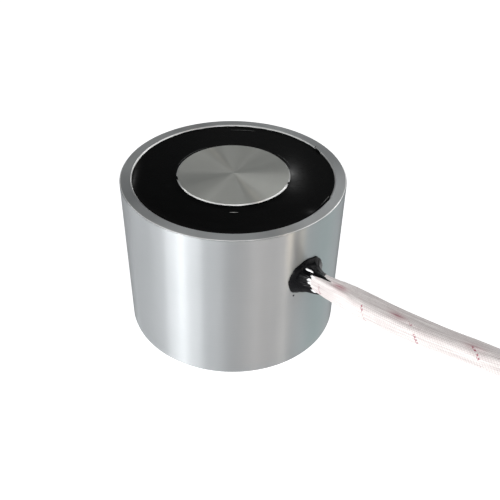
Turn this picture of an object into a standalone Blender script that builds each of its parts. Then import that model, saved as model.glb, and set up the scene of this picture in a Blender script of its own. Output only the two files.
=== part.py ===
"""Electro-permanent holding magnet, modelled at real size.

A turned steel cup holds a disc magnet under a centre pole. The coil round the pole cancels
the magnet's pull while it is powered, and black epoxy seals it in. The lead leaves the wall
through a cast epoxy seal, inside a braided glass sleeve that ends in two tinned wires.
Units are metres, +Z is up, the pole face looks up and the origin is the centre of the base.
Azimuths are measured from -Y towards +X.
"""

import math

import bmesh
import bpy
from mathutils import Matrix, Vector

# Gap between pieces that touch on the real product
SEAT_GAP = 0.0003

# Housing cup, turned from bar
CUP_RADIUS = 0.040
CUP_HEIGHT = 0.060
CUP_WALL = 0.0045
CUP_BASE = 0.014
FOOT_CHAMFER = 0.0006
RIM_CHAMFER = 0.0004
MOUTH_CHAMFER = 0.0007

# Blind hole in the base, at the tapping diameter of an M10 thread
MOUNT_HOLE_RADIUS = 0.00425
MOUNT_HOLE_DEPTH = 0.009
MOUNT_HOLE_CHAMFER = 0.0008
DRILL_POINT_ANGLE = math.radians(118)

# Disc magnet, let into the cup's floor, a little smaller than the pole over it
MAGNET_MARGIN = 0.0007
MAGNET_THICKNESS = 0.008
MAGNET_SEAT_DEPTH = 0.001
MAGNET_CHAMFER = 0.0003

# Centre pole, which fills what the coil leaves free
POLE_CHAMFER = 0.0004

# Coil former, moulded in one piece
FORMER_BORE_CLEARANCE = 0.0004
FORMER_TUBE_WALL = 0.0009
FORMER_FLANGE = 0.0015
FORMER_FLANGE_TO_WALL = 0.0025
WIRE_GROOVE_WIDTH = 0.0016
WIRE_GROOVE_DEPTH = 0.0010

# Winding and its wrap, with the space that the splices take between wrap and cup
WINDING_DEPTH = 0.0087
LEAD_SPACE = 0.0044
TAPE_THICKNESS = 0.0003
TAPE_NOTCH = 0.003

# Epoxy face, one casting that keys round the former's top flange
POTTING_SINK = 0.0004
POTTING_DEPTH = 0.0048
POTTING_KEY = 0.003

# Lead hole in the wall
LEAD_AZIMUTH = math.radians(38.5)
LEAD_HEIGHT = 0.0388
LEAD_HOLE_RADIUS = 0.00575

# Cast seal round the lead
SEAL_LENGTH = 0.0085
SEAL_FOOT_HALF_WIDTH = 0.0086
SEAL_FOOT_HALF_HEIGHT = 0.0066
SEAL_LIP = 0.0005
SEAL_INSET = 0.0015
SEAL_RINGS = 8
SEAL_SIDES = 28

# Coil wires, splices and lead wires
COIL_WIRE_RADIUS = 0.0004
COIL_WIRE_ARC = math.radians(14)
COIL_WIRE_STEP = 0.0016
SPLICE_RADIUS = 0.0014
SPLICE_ARC = math.radians(20)
SPLICE_POINTS = 5
LEAD_WIRE_RADIUS = 0.00095
LEAD_WIRE_SPACING = 0.0023
LEAD_WIRE_ARC = math.radians(14)

# The lead wire's turn into the cup: (share of its arc, share of the way out to the wall)
LEAD_WIRE_BEND = [(0.06, 1.0), (0.20, 0.5), (0.45, 0.0), (0.72, 0.0)]

# Braided sleeve
SLEEVE_RADIUS = 0.00435
SLEEVE_START_INSET = 0.0035
SLEEVE_STEP = 0.0174

# The sleeve's route past the wall: it sags to the table and turns back along the magnet
SLEEVE_ROUTE = [
    (0.0286, -0.0356, 0.0386),
    (0.0334, -0.0397, 0.0384),
    (0.0389, -0.0425, 0.0379),
    (0.0489, -0.0470, 0.0361),
    (0.0587, -0.0509, 0.0334),
    (0.0690, -0.0542, 0.0305),
    (0.0792, -0.0570, 0.0275),
    (0.0893, -0.0592, 0.0241),
    (0.0990, -0.0603, 0.0201),
    (0.1085, -0.0600, 0.0154),
    (0.1178, -0.0578, 0.0107),
    (0.1262, -0.0535, 0.0068),
    (0.1333, -0.0470, 0.0048),
    (0.1386, -0.0388, 0.0044),
    (0.1418, -0.0292, 0.0044),
    (0.1430, -0.0190, 0.0044),
    (0.1434, -0.0085, 0.0044),
    (0.1433, 0.0020, 0.0044),
    (0.1433, 0.0125, 0.0044),
    (0.1438, 0.0230, 0.0045),
    (0.1450, 0.0334, 0.0049),
    (0.1468, 0.0438, 0.0055),
    (0.1490, 0.0537, 0.0057),
]

# Shrink wrap over the sleeve's end
WRAP_WALL = 0.0006
WRAP_OVERLAP = 0.011
WRAP_SHOULDER = 0.0025
WRAP_THROAT = 0.0056
WRAP_NOSE = 0.007
WRAP_NOSE_BORE = 0.00255

# Tails of the lead wires past the sleeve's end: (along, to the side, height over the table)
TAIL_ROUTE = [
    (0.0060, 0.00115, 0.0056),
    (0.0120, 0.0017, 0.0050),
    (0.0190, 0.0034, 0.0031),
    (0.0260, 0.0057, 0.0016),
    (0.0340, 0.0082, 0.0010),
]
TAIL_STEP = 0.003
TINNED_RADIUS = 0.0006
TINNED_LENGTH = 0.007

# Facets and shading
CUP_SEGMENTS = 96
INNER_SEGMENTS = 64
WRAP_SEGMENTS = 24
WIRE_BEVEL_SEGMENTS = 2
SLEEVE_BEVEL_SEGMENTS = 4
ROUTE_SAMPLES = 24
SHARP_ANGLE = math.radians(30)

# Sizes that follow from those above, across the magnet and then up it
CUP_BORE = CUP_RADIUS - CUP_WALL
FORMER_RIM = CUP_BORE - FORMER_FLANGE_TO_WALL
TAPE_RADIUS = CUP_BORE - LEAD_SPACE
WINDING_RADIUS = TAPE_RADIUS - TAPE_THICKNESS - SEAT_GAP
FORMER_TUBE = WINDING_RADIUS - WINDING_DEPTH - SEAT_GAP
FORMER_BORE = FORMER_TUBE - FORMER_TUBE_WALL
POLE_RADIUS = FORMER_BORE - FORMER_BORE_CLEARANCE
MAGNET_RADIUS = POLE_RADIUS - MAGNET_MARGIN
SPLICE_RING = TAPE_RADIUS + LEAD_SPACE / 2
COIL_WIRE_RING = TAPE_RADIUS + SEAT_GAP + COIL_WIRE_RADIUS
SLEEVE_START = CUP_RADIUS - SLEEVE_START_INSET
MAGNET_TOP = CUP_BASE - MAGNET_SEAT_DEPTH + SEAT_GAP + MAGNET_THICKNESS
POTTING_TOP = CUP_HEIGHT - POTTING_SINK
POTTING_BOTTOM = POTTING_TOP - POTTING_DEPTH
FORMER_BOTTOM = CUP_BASE + SEAT_GAP
FORMER_TOP = POTTING_BOTTOM - SEAT_GAP
WINDING_BOTTOM = FORMER_BOTTOM + FORMER_FLANGE + SEAT_GAP
WINDING_TOP = FORMER_TOP - FORMER_FLANGE - SEAT_GAP


def clear_scene():
    """Remove whatever the start-up file holds."""
    for obj in list(bpy.data.objects):
        bpy.data.objects.remove(obj)


def new_collection(name):
    collection = bpy.data.collections.new(name)
    bpy.context.scene.collection.children.link(collection)
    return collection


def make_material(name, colour, roughness, metallic=0.0):
    """A Principled material with a part's own colour, roughness and metallic value."""
    material = bpy.data.materials.new(name)
    material.use_nodes = True
    shader = material.node_tree.nodes["Principled BSDF"]
    shader.inputs["Base Color"].default_value = (*colour, 1.0)
    shader.inputs["Roughness"].default_value = roughness
    shader.inputs["Metallic"].default_value = metallic
    return material


def around(azimuth, radius, height):
    """A point at an azimuth and radius from the magnet's axis."""
    return Vector((radius * math.sin(azimuth), -radius * math.cos(azimuth), height))


def add_object(name, data, collection, material=None):
    obj = bpy.data.objects.new(name, data)
    collection.objects.link(obj)
    if material:
        data.materials.append(material)
    return obj


def shade(mesh):
    """Smooth round faces and keep hard edges hard."""
    mesh.shade_smooth()
    mesh.set_sharp_from_angle(angle=SHARP_ANGLE)


def apply_modifiers(obj):
    """Turn an object with modifiers into the mesh that they make."""
    graph = bpy.context.evaluated_depsgraph_get()
    mesh = bpy.data.meshes.new_from_object(obj.evaluated_get(graph))
    obj.modifiers.clear()
    obj.data = mesh
    shade(mesh)
    return obj


def turned(name, profile, collection, material, segments=INNER_SEGMENTS, closed=True):
    """Turn a profile of (radius, height) points round Z. An open one starts and ends on the axis."""
    mesh = bpy.data.meshes.new(name)
    edges = [(i, i + 1) for i in range(len(profile) - 1)]
    if closed:
        edges.append((len(profile) - 1, 0))
    mesh.from_pydata([(radius, 0.0, height) for radius, height in profile], edges, [])
    obj = add_object(name, mesh, collection, material)
    screw = obj.modifiers.new("turn", "SCREW")
    screw.steps = segments
    screw.render_steps = segments
    screw.use_merge_vertices = True
    screw.merge_threshold = 0.00001
    return apply_modifiers(obj)


def smooth_route(points, step):
    """Points about one step apart on a smooth curve through the given points."""
    ends = [2 * points[0] - points[1], *points, 2 * points[-1] - points[-2]]
    fine = [points[0]]
    for before, start, end, after in zip(ends, ends[1:], ends[2:], ends[3:]):
        for i in range(1, ROUTE_SAMPLES + 1):
            t = i / ROUTE_SAMPLES
            curve = (
                2 * start
                + (end - before) * t
                + (2 * before - 5 * start + 4 * end - after) * t**2
                + (3 * start - before - 3 * end + after) * t**3
            )
            fine.append(curve / 2)
    along = [0.0]
    for start, end in zip(fine, fine[1:]):
        along.append(along[-1] + (end - start).length)
    count = max(2, round(along[-1] / step))
    spaced = []
    at = 0
    for i in range(count + 1):
        target = along[-1] * i / count
        while at < len(fine) - 2 and along[at + 1] < target:
            at += 1
        share = (target - along[at]) / (along[at + 1] - along[at])
        spaced.append(fine[at].lerp(fine[at + 1], share))
    return spaced


def tube(name, points, radius, collection, material=None, resolution=WIRE_BEVEL_SEGMENTS):
    """A solid round wire or sleeve along a line of points."""
    curve = bpy.data.curves.new(name, "CURVE")
    curve.dimensions = "3D"
    curve.bevel_depth = radius
    curve.bevel_resolution = resolution
    curve.use_fill_caps = True
    spline = curve.splines.new("POLY")
    spline.points.add(len(points) - 1)
    for point, place in zip(spline.points, points):
        point.co = (*place, 1.0)
    return add_object(name, curve, collection, material)


def curve_to_mesh(obj, collection):
    """A closed mesh of a curve object, which then takes the curve's place."""
    name = obj.name
    graph = bpy.context.evaluated_depsgraph_get()
    mesh = bpy.data.meshes.new_from_object(obj.evaluated_get(graph))
    solid = bmesh.new()
    solid.from_mesh(mesh)
    bmesh.ops.remove_doubles(solid, verts=solid.verts, dist=0.000001)
    bmesh.ops.recalc_face_normals(solid, faces=solid.faces)
    solid.to_mesh(mesh)
    solid.free()
    place = obj.matrix_world.copy()
    bpy.data.objects.remove(obj)
    made = add_object(name, mesh, collection)
    made.matrix_world = place
    return made


def cylinder_cutter(name, radius, depth, matrix, collection, segments=INNER_SEGMENTS):
    mesh = bpy.data.meshes.new(name)
    solid = bmesh.new()
    bmesh.ops.create_cone(
        solid,
        cap_ends=True,
        segments=segments,
        radius1=radius,
        radius2=radius,
        depth=depth,
        matrix=matrix,
    )
    solid.to_mesh(mesh)
    solid.free()
    return add_object(name, mesh, collection)


def box_cutter(name, size, matrix, collection):
    mesh = bpy.data.meshes.new(name)
    solid = bmesh.new()
    bmesh.ops.create_cube(solid, size=1.0, matrix=matrix @ Matrix.Diagonal((*size, 1.0)))
    solid.to_mesh(mesh)
    solid.free()
    return add_object(name, mesh, collection)


def hide_tool(obj):
    """Keep a cutter out of renders and show it as wire."""
    obj.hide_render = True
    obj.display_type = "WIRE"


def combine(obj, tool, operation):
    """Cut or join an object with a tool by an exact Boolean."""
    boolean = obj.modifiers.new(tool.name, "BOOLEAN")
    boolean.operation = operation
    boolean.solver = "EXACT"
    boolean.object = tool
    hide_tool(tool)


def along_radius(azimuth, height):
    """A frame whose Z axis points outward at an azimuth, at a height on the magnet's axis."""
    outward = around(azimuth, 1.0, 0.0)
    sideways = Vector((0.0, 0.0, 1.0)).cross(outward)
    frame = Matrix((sideways, outward.cross(sideways), outward)).transposed().to_4x4()
    frame.translation = Vector((0.0, 0.0, height))
    return frame


def housing_cup(parts, tools):
    """Turned cup with a magnet seat, a blind mounting hole and the lead hole."""
    seat_floor = CUP_BASE - MAGNET_SEAT_DEPTH
    seat_radius = MAGNET_RADIUS + SEAT_GAP
    drill_point = MOUNT_HOLE_RADIUS / math.tan(DRILL_POINT_ANGLE / 2)
    profile = [
        (0.0, seat_floor),
        (seat_radius, seat_floor),
        (seat_radius, CUP_BASE),
        (CUP_BORE, CUP_BASE),
        (CUP_BORE, CUP_HEIGHT - MOUTH_CHAMFER),
        (CUP_BORE + MOUTH_CHAMFER, CUP_HEIGHT),
        (CUP_RADIUS - RIM_CHAMFER, CUP_HEIGHT),
        (CUP_RADIUS, CUP_HEIGHT - RIM_CHAMFER),
        (CUP_RADIUS, FOOT_CHAMFER),
        (CUP_RADIUS - FOOT_CHAMFER, 0.0),
        (MOUNT_HOLE_RADIUS + MOUNT_HOLE_CHAMFER, 0.0),
        (MOUNT_HOLE_RADIUS, MOUNT_HOLE_CHAMFER),
        (MOUNT_HOLE_RADIUS, MOUNT_HOLE_DEPTH),
        (0.0, MOUNT_HOLE_DEPTH + drill_point),
    ]
    steel = make_material("plated_steel", (0.62, 0.64, 0.65), 0.32, 1.0)
    cup = turned("housing_cup", profile, parts, steel, CUP_SEGMENTS, closed=False)
    middle = (CUP_BORE + CUP_RADIUS) / 2
    place = along_radius(LEAD_AZIMUTH, LEAD_HEIGHT) @ Matrix.Translation((0.0, 0.0, middle))
    drill = cylinder_cutter("lead_hole_drill", LEAD_HOLE_RADIUS, 3 * CUP_WALL, place, tools)
    combine(cup, drill, "DIFFERENCE")
    return cup


def permanent_magnet(parts):
    """Disc magnet in its seat under the pole."""
    bottom = MAGNET_TOP - MAGNET_THICKNESS
    profile = [
        (0.0, MAGNET_TOP),
        (MAGNET_RADIUS - MAGNET_CHAMFER, MAGNET_TOP),
        (MAGNET_RADIUS, MAGNET_TOP - MAGNET_CHAMFER),
        (MAGNET_RADIUS, bottom + MAGNET_CHAMFER),
        (MAGNET_RADIUS - MAGNET_CHAMFER, bottom),
        (0.0, bottom),
    ]
    material = make_material("nickelled_magnet", (0.55, 0.54, 0.52), 0.25, 1.0)
    return turned("permanent_magnet", profile, parts, material, closed=False)


def pole_core(parts):
    """Centre pole, faced off level with the cup's rim."""
    bottom = MAGNET_TOP + SEAT_GAP
    profile = [
        (0.0, CUP_HEIGHT),
        (POLE_RADIUS - POLE_CHAMFER, CUP_HEIGHT),
        (POLE_RADIUS, CUP_HEIGHT - POLE_CHAMFER),
        (POLE_RADIUS, bottom + POLE_CHAMFER),
        (POLE_RADIUS - POLE_CHAMFER, bottom),
        (0.0, bottom),
    ]
    steel = make_material("turned_steel", (0.60, 0.60, 0.60), 0.30, 1.0)
    return turned("pole_core", profile, parts, steel, CUP_SEGMENTS, closed=False)


def coil_former(parts, tools):
    """Moulded bobbin with a groove in its top flange for the start wire."""
    profile = [
        (FORMER_BORE, FORMER_TOP),
        (FORMER_RIM, FORMER_TOP),
        (FORMER_RIM, FORMER_TOP - FORMER_FLANGE),
        (FORMER_TUBE, FORMER_TOP - FORMER_FLANGE),
        (FORMER_TUBE, FORMER_BOTTOM + FORMER_FLANGE),
        (FORMER_RIM, FORMER_BOTTOM + FORMER_FLANGE),
        (FORMER_RIM, FORMER_BOTTOM),
        (FORMER_BORE, FORMER_BOTTOM),
    ]
    nylon = make_material("white_nylon", (0.80, 0.79, 0.74), 0.5)
    former = turned("coil_former", profile, parts, nylon)
    length = FORMER_RIM - FORMER_TUBE + 2 * SEAT_GAP
    height = FORMER_TOP - FORMER_FLANGE
    outward = (FORMER_RIM + FORMER_TUBE) / 2 + SEAT_GAP
    place = along_radius(start_wire_azimuth(), height) @ Matrix.Translation((0, 0, outward))
    size = (WIRE_GROOVE_WIDTH, 2 * WIRE_GROOVE_DEPTH, length)
    combine(former, box_cutter("wire_groove", size, place, tools), "DIFFERENCE")
    return former


def coil_winding(parts):
    """The wound turns, as one solid between the flanges."""
    inner = WINDING_RADIUS - WINDING_DEPTH
    profile = [
        (inner, WINDING_TOP),
        (WINDING_RADIUS, WINDING_TOP),
        (WINDING_RADIUS, WINDING_BOTTOM),
        (inner, WINDING_BOTTOM),
    ]
    copper = make_material("enamelled_copper", (0.45, 0.16, 0.06), 0.3, 0.8)
    return turned("coil_winding", profile, parts, copper)


def coil_tape(parts, tools):
    """Tape round the winding, notched where the finish wire comes through."""
    inner = WINDING_RADIUS + SEAT_GAP
    profile = [
        (inner, WINDING_TOP),
        (TAPE_RADIUS, WINDING_TOP),
        (TAPE_RADIUS, WINDING_BOTTOM),
        (inner, WINDING_BOTTOM),
    ]
    film = make_material("polyester_tape", (0.75, 0.55, 0.08), 0.35)
    tape = turned("coil_tape", profile, parts, film)
    place = along_radius(finish_wire_azimuth(), WINDING_TOP)
    place = place @ Matrix.Translation((0.0, 0.0, TAPE_RADIUS))
    notch = box_cutter("tape_notch", (TAPE_NOTCH, 2 * TAPE_NOTCH, TAPE_NOTCH), place, tools)
    combine(tape, notch, "DIFFERENCE")
    return tape


def potting_ring(parts):
    """Epoxy face between pole and rim, with a skirt that keys over the former's edge."""
    inner = POLE_RADIUS + SEAT_GAP
    outer = CUP_BORE - SEAT_GAP
    skirt = FORMER_RIM + SEAT_GAP
    profile = [
        (inner, POTTING_TOP),
        (outer, POTTING_TOP),
        (outer, POTTING_BOTTOM - POTTING_KEY),
        (skirt, POTTING_BOTTOM - POTTING_KEY),
        (skirt, POTTING_BOTTOM),
        (inner, POTTING_BOTTOM),
    ]
    epoxy = make_material("black_epoxy", (0.006, 0.006, 0.007), 0.12)
    return turned("potting_ring", profile, parts, epoxy, CUP_SEGMENTS)


def side_azimuth(side, arc):
    """The azimuth that lies an arc to one side of the lead hole."""
    return LEAD_AZIMUTH + side * arc


def start_wire_azimuth():
    return side_azimuth(1, LEAD_WIRE_ARC + SPLICE_ARC + 2 * COIL_WIRE_ARC)


def finish_wire_azimuth():
    return side_azimuth(-1, LEAD_WIRE_ARC + SPLICE_ARC + 2 * COIL_WIRE_ARC)


def splice_height(side):
    """The splice and lead wire of one side lie half a spacing over or under the hole's centre."""
    return LEAD_HEIGHT + side * LEAD_WIRE_SPACING / 2


def splice(parts, name, side):
    """Insulating sleeve over the joint between a coil wire and a lead wire."""
    points = []
    for i in range(SPLICE_POINTS):
        arc = LEAD_WIRE_ARC + SPLICE_ARC * i / (SPLICE_POINTS - 1)
        points.append(around(side_azimuth(side, arc), SPLICE_RING, splice_height(side)))
    sleeve = make_material(name, (0.70, 0.68, 0.60), 0.45)
    return tube(name, points, SPLICE_RADIUS, parts, sleeve)


def lead_wire(parts, name, side, colour):
    """Lead wire from the sleeve's inner end, round inside the cup to its splice."""
    height = splice_height(side)
    mouth = CUP_BORE - LEAD_WIRE_RADIUS
    points = [around(LEAD_AZIMUTH, SLEEVE_START - SEAT_GAP, height)]
    for arc_share, wall_share in LEAD_WIRE_BEND:
        radius = SPLICE_RING + (mouth - SPLICE_RING) * wall_share
        points.append(around(side_azimuth(side, LEAD_WIRE_ARC * arc_share), radius, height))
    end = side_azimuth(side, LEAD_WIRE_ARC - SEAT_GAP / SPLICE_RING)
    points.append(around(end, SPLICE_RING, height))
    material = make_material(name, colour, 0.4)
    return tube(name, points, LEAD_WIRE_RADIUS, parts, material)


def wire_to_splice(azimuth, side, height):
    """The last points of a coil wire, down beside the tape and round to its splice."""
    level = splice_height(side)
    end = side_azimuth(side, LEAD_WIRE_ARC + SPLICE_ARC + SEAT_GAP / SPLICE_RING)
    down = end + side * COIL_WIRE_ARC
    beside = COIL_WIRE_RING + SEAT_GAP
    return [
        around((azimuth + down) / 2, beside, (height + level) / 2),
        around(down, beside, level + 2 * SPLICE_RADIUS),
        around((down + end) / 2, SPLICE_RING, level + SPLICE_RADIUS / 2),
        around(end, SPLICE_RING, level),
    ]


def coil_start_wire(parts):
    """Coil wire from the innermost layer, out through the flange groove and down to its splice."""
    azimuth = start_wire_azimuth()
    groove = FORMER_TOP - FORMER_FLANGE + COIL_WIRE_RADIUS
    route = [
        around(azimuth, FORMER_TUBE + SEAT_GAP + COIL_WIRE_RADIUS, groove),
        around(azimuth, WINDING_RADIUS, groove),
        around(azimuth, COIL_WIRE_RING, groove - 2 * COIL_WIRE_RADIUS),
        around(azimuth, COIL_WIRE_RING + SEAT_GAP, groove - 6 * COIL_WIRE_RADIUS),
        *wire_to_splice(azimuth, 1, groove),
    ]
    copper = make_material("coil_start_wire", (0.45, 0.16, 0.06), 0.3, 0.8)
    points = smooth_route(route, COIL_WIRE_STEP)
    return tube("coil_start_wire", points, COIL_WIRE_RADIUS, parts, copper)


def coil_finish_wire(parts):
    """Coil wire from the outermost layer, through the tape's notch and down to its splice."""
    azimuth = finish_wire_azimuth()
    notch = WINDING_TOP - TAPE_NOTCH / 2
    route = [
        around(azimuth, WINDING_RADIUS + SEAT_GAP, notch),
        around(azimuth, COIL_WIRE_RING, notch),
        around(azimuth, COIL_WIRE_RING + SEAT_GAP, notch - 4 * COIL_WIRE_RADIUS),
        *wire_to_splice(azimuth, -1, notch),
    ]
    copper = make_material("coil_finish_wire", (0.45, 0.16, 0.06), 0.3, 0.8)
    points = smooth_route(route, COIL_WIRE_STEP)
    return tube("coil_finish_wire", points, COIL_WIRE_RADIUS, parts, copper)


def sleeve_line(step):
    """The sleeve's centreline, from inside the lead hole to its far end."""
    hole = [
        around(LEAD_AZIMUTH, SLEEVE_START, LEAD_HEIGHT),
        around(LEAD_AZIMUTH, CUP_RADIUS, LEAD_HEIGHT),
    ]
    return smooth_route(hole + [Vector(point) for point in SLEEVE_ROUTE], step)


def seal_ring(centre, forward, half_width, half_height):
    """An oval ring of points square to the sleeve."""
    side = forward.cross(Vector((0.0, 0.0, 1.0))).normalized()
    up = side.cross(forward)
    points = []
    for i in range(SEAL_SIDES):
        angle = 2 * math.pi * i / SEAL_SIDES
        points.append(
            centre + side * (half_width * math.cos(angle)) + up * (half_height * math.sin(angle))
        )
    return points


def seal_flare(parts, material):
    """Loft from an oval foot on the wall to a thin lip round the sleeve."""
    start, end = sleeve_line(SLEEVE_STEP)[:2]
    forward = (end - start).normalized()
    lip = SLEEVE_RADIUS + SEAT_GAP + SEAL_LIP
    foot_at = SLEEVE_START_INSET - SEAL_INSET
    solid = bmesh.new()
    rings = []
    for i in range(SEAL_RINGS):
        share = i / (SEAL_RINGS - 1)
        centre = start + forward * (foot_at + (SEAL_LENGTH + SEAL_INSET) * share)
        fall = (1 - share) ** 2
        half_width = lip + (SEAL_FOOT_HALF_WIDTH - lip) * fall
        half_height = lip + (SEAL_FOOT_HALF_HEIGHT - lip) * fall
        ring = seal_ring(centre, forward, half_width, half_height)
        rings.append([solid.verts.new(point) for point in ring])
    for near, far in zip(rings, rings[1:]):
        for i in range(SEAL_SIDES):
            j = (i + 1) % SEAL_SIDES
            solid.faces.new((near[i], near[j], far[j], far[i]))
    solid.faces.new(rings[0])
    solid.faces.new(rings[-1])
    bmesh.ops.recalc_face_normals(solid, faces=solid.faces)
    mesh = bpy.data.meshes.new("lead_seal")
    solid.to_mesh(mesh)
    solid.free()
    shade(mesh)
    return add_object("lead_seal", mesh, parts, material)


def lead_seal(parts, tools):
    """Cast epoxy seal: a plug in the lead hole, a foot that fits the wall and a flared lip."""
    epoxy = make_material("seal_epoxy", (0.006, 0.006, 0.007), 0.12)
    seal = seal_flare(parts, epoxy)
    wall = cylinder_cutter(
        "wall_envelope",
        CUP_RADIUS + SEAT_GAP,
        CUP_HEIGHT,
        Matrix.Translation((0.0, 0.0, CUP_HEIGHT / 2)),
        tools,
        CUP_SEGMENTS,
    )
    inner = CUP_BORE + SEAT_GAP
    outer = CUP_RADIUS + SEAL_INSET
    place = along_radius(LEAD_AZIMUTH, LEAD_HEIGHT)
    place = place @ Matrix.Translation((0.0, 0.0, (inner + outer) / 2))
    plug = cylinder_cutter(
        "seal_plug", LEAD_HOLE_RADIUS - SEAT_GAP, outer - inner, place, tools, SEAL_SIDES
    )
    start, end = sleeve_line(SLEEVE_STEP)[:2]
    before = start - (end - start).normalized() * SLEEVE_START_INSET
    clear = SLEEVE_RADIUS + SEAT_GAP
    bore = tube("sleeve_bore", [before, end], clear, tools, None, SLEEVE_BEVEL_SEGMENTS)
    bore = curve_to_mesh(bore, tools)
    combine(seal, wall, "DIFFERENCE")
    combine(seal, plug, "UNION")
    combine(seal, bore, "DIFFERENCE")
    return seal


def lead_sleeve(parts):
    """Braided sleeve over both lead wires, as a plain tube."""
    braid = make_material("glass_braid", (0.80, 0.78, 0.77), 0.7)
    return tube("lead_sleeve", sleeve_line(SLEEVE_STEP), SLEEVE_RADIUS, parts, braid, SLEEVE_BEVEL_SEGMENTS)


def sleeve_end():
    """The sleeve's far end: (centre, direction along, direction to the side)."""
    line = sleeve_line(SLEEVE_STEP)
    forward = (line[-1] - line[-2]).normalized()
    side = forward.cross(Vector((0.0, 0.0, 1.0))).normalized()
    return line[-1], forward, side


def sleeve_end_wrap(parts):
    """Shrink wrap over the sleeve's end that narrows onto the two wires."""
    bore = SLEEVE_RADIUS + SEAT_GAP
    profile = [
        (WRAP_NOSE_BORE + WRAP_WALL, WRAP_NOSE),
        (bore + WRAP_WALL, WRAP_SHOULDER),
        (bore + WRAP_WALL, -WRAP_OVERLAP),
        (bore, -WRAP_OVERLAP),
        (bore, WRAP_SHOULDER / 2),
        (WRAP_NOSE_BORE, WRAP_THROAT),
        (WRAP_NOSE_BORE, WRAP_NOSE),
    ]
    film = make_material("shrink_wrap", (0.01, 0.01, 0.011), 0.45)
    wrap = turned("sleeve_end_wrap", profile, parts, film, WRAP_SEGMENTS)
    centre, forward, _ = sleeve_end()
    wrap.location = centre
    wrap.rotation_mode = "QUATERNION"
    wrap.rotation_quaternion = forward.to_track_quat("Z", "Y")
    return wrap


def tail_points(side):
    """The route of one lead wire past the sleeve's end."""
    centre, forward, sideways = sleeve_end()
    flat = Vector((forward.x, forward.y, 0.0)).normalized()
    spread = side * LEAD_WIRE_SPACING / 2
    start = centre + forward * SEAT_GAP + sideways * spread
    points = [start]
    for along, across, height in TAIL_ROUTE:
        point = centre + flat * along + sideways * (side * across)
        point.z = height
        points.append(point)
    return smooth_route(points, TAIL_STEP)


def lead_tail(parts, suffix, side, colour):
    """Bare end of one lead wire and its tinned strands."""
    points = tail_points(side)
    insulation = make_material("tail_wire_" + suffix, colour, 0.4)
    wire = tube("tail_wire_" + suffix, points, LEAD_WIRE_RADIUS, parts, insulation)
    forward = (points[-1] - points[-2]).normalized()
    start = points[-1] + forward * SEAT_GAP
    end = start + Vector((forward.x, forward.y, 0.0)).normalized() * TINNED_LENGTH
    solder = make_material("tinned_end_" + suffix, (0.70, 0.70, 0.70), 0.3, 1.0)
    tip = tube("tinned_end_" + suffix, [start, end], TINNED_RADIUS, parts, solder)
    return wire, tip


def main():
    clear_scene()
    parts = new_collection("electro_permanent_magnet")
    tools = new_collection("cutters")
    housing_cup(parts, tools)
    permanent_magnet(parts)
    pole_core(parts)
    coil_former(parts, tools)
    coil_winding(parts)
    coil_tape(parts, tools)
    potting_ring(parts)
    lead_seal(parts, tools)
    lead_sleeve(parts)
    sleeve_end_wrap(parts)
    splice(parts, "splice_sleeve_start", 1)
    splice(parts, "splice_sleeve_finish", -1)
    coil_start_wire(parts)
    coil_finish_wire(parts)
    for suffix, side, colour in (
        ("start", 1, (0.45, 0.02, 0.02)),
        ("finish", -1, (0.02, 0.02, 0.02)),
    ):
        lead_wire(parts, "lead_wire_" + suffix, side, colour)
        lead_tail(parts, suffix, side, colour)


main()
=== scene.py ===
"""Looks of the electro-permanent magnet: turned steel, cast epoxy, the braided lead, light and camera.

Units are metres, +Z is up, and azimuths are measured from -Y towards +X.
"""

import math

import bmesh
import bpy
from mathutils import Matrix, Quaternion, Vector, noise


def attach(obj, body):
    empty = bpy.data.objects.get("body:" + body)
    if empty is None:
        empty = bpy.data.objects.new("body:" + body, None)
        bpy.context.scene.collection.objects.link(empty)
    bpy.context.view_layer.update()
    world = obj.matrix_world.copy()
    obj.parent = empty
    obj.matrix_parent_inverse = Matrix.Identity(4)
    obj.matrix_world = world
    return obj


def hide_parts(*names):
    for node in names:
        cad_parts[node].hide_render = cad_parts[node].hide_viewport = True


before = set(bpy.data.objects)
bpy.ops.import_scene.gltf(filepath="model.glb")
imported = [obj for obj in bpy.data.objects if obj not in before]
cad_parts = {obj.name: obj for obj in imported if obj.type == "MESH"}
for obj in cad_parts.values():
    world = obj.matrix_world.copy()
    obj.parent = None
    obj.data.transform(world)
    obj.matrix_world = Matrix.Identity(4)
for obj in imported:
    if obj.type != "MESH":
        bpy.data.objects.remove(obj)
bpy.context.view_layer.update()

# Sizes that the CAD model has
CUP_RADIUS = 0.040
CUP_HEIGHT = 0.060
CUP_WALL = 0.0045
CUP_BASE = 0.014
FOOT_CHAMFER = 0.0006
RIM_CHAMFER = 0.0004
MOUTH_CHAMFER = 0.0007
POLE_RADIUS = 0.0202
POLE_CHAMFER = 0.0004
POLE_BOTTOM = 0.0216
MAGNET_SEAT_RADIUS = 0.0198
MAGNET_SEAT_DEPTH = 0.001
SEAT_GAP = 0.0003
POTTING_SINK = 0.0004
POTTING_DEPTH = 0.0048
MOUNT_HOLE_RADIUS = 0.00425
MOUNT_HOLE_DEPTH = 0.009
MOUNT_HOLE_CHAMFER = 0.0008
DRILL_POINT_ANGLE = math.radians(118)
LEAD_AZIMUTH = math.radians(38.5)
LEAD_HEIGHT = 0.0388
LEAD_HOLE_RADIUS = 0.00575
SLEEVE_RADIUS = 0.00435
SLEEVE_START = CUP_RADIUS - 0.0035
LEAD_WIRE_RADIUS = 0.00095
SLEEVE_STEP = 0.0174
LEAD_WIRE_SPACING = 0.0023
TINNED_RADIUS = 0.0006
TINNED_LENGTH = 0.007
WRAP_WALL = 0.0006
WRAP_OVERLAP = 0.011
WRAP_SHOULDER = 0.0025
WRAP_NOSE = 0.007

# How finely the parts are drawn, and where the facet of the rim's chamfer turns as shares of it
ROUTE_SAMPLES = 24
TURNED_SIDES = 288
SHARP_ANGLE = math.radians(30)
SOFT_SHARP_ANGLE = math.radians(50)
RIM_FACET = (0.45, 0.35)

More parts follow.
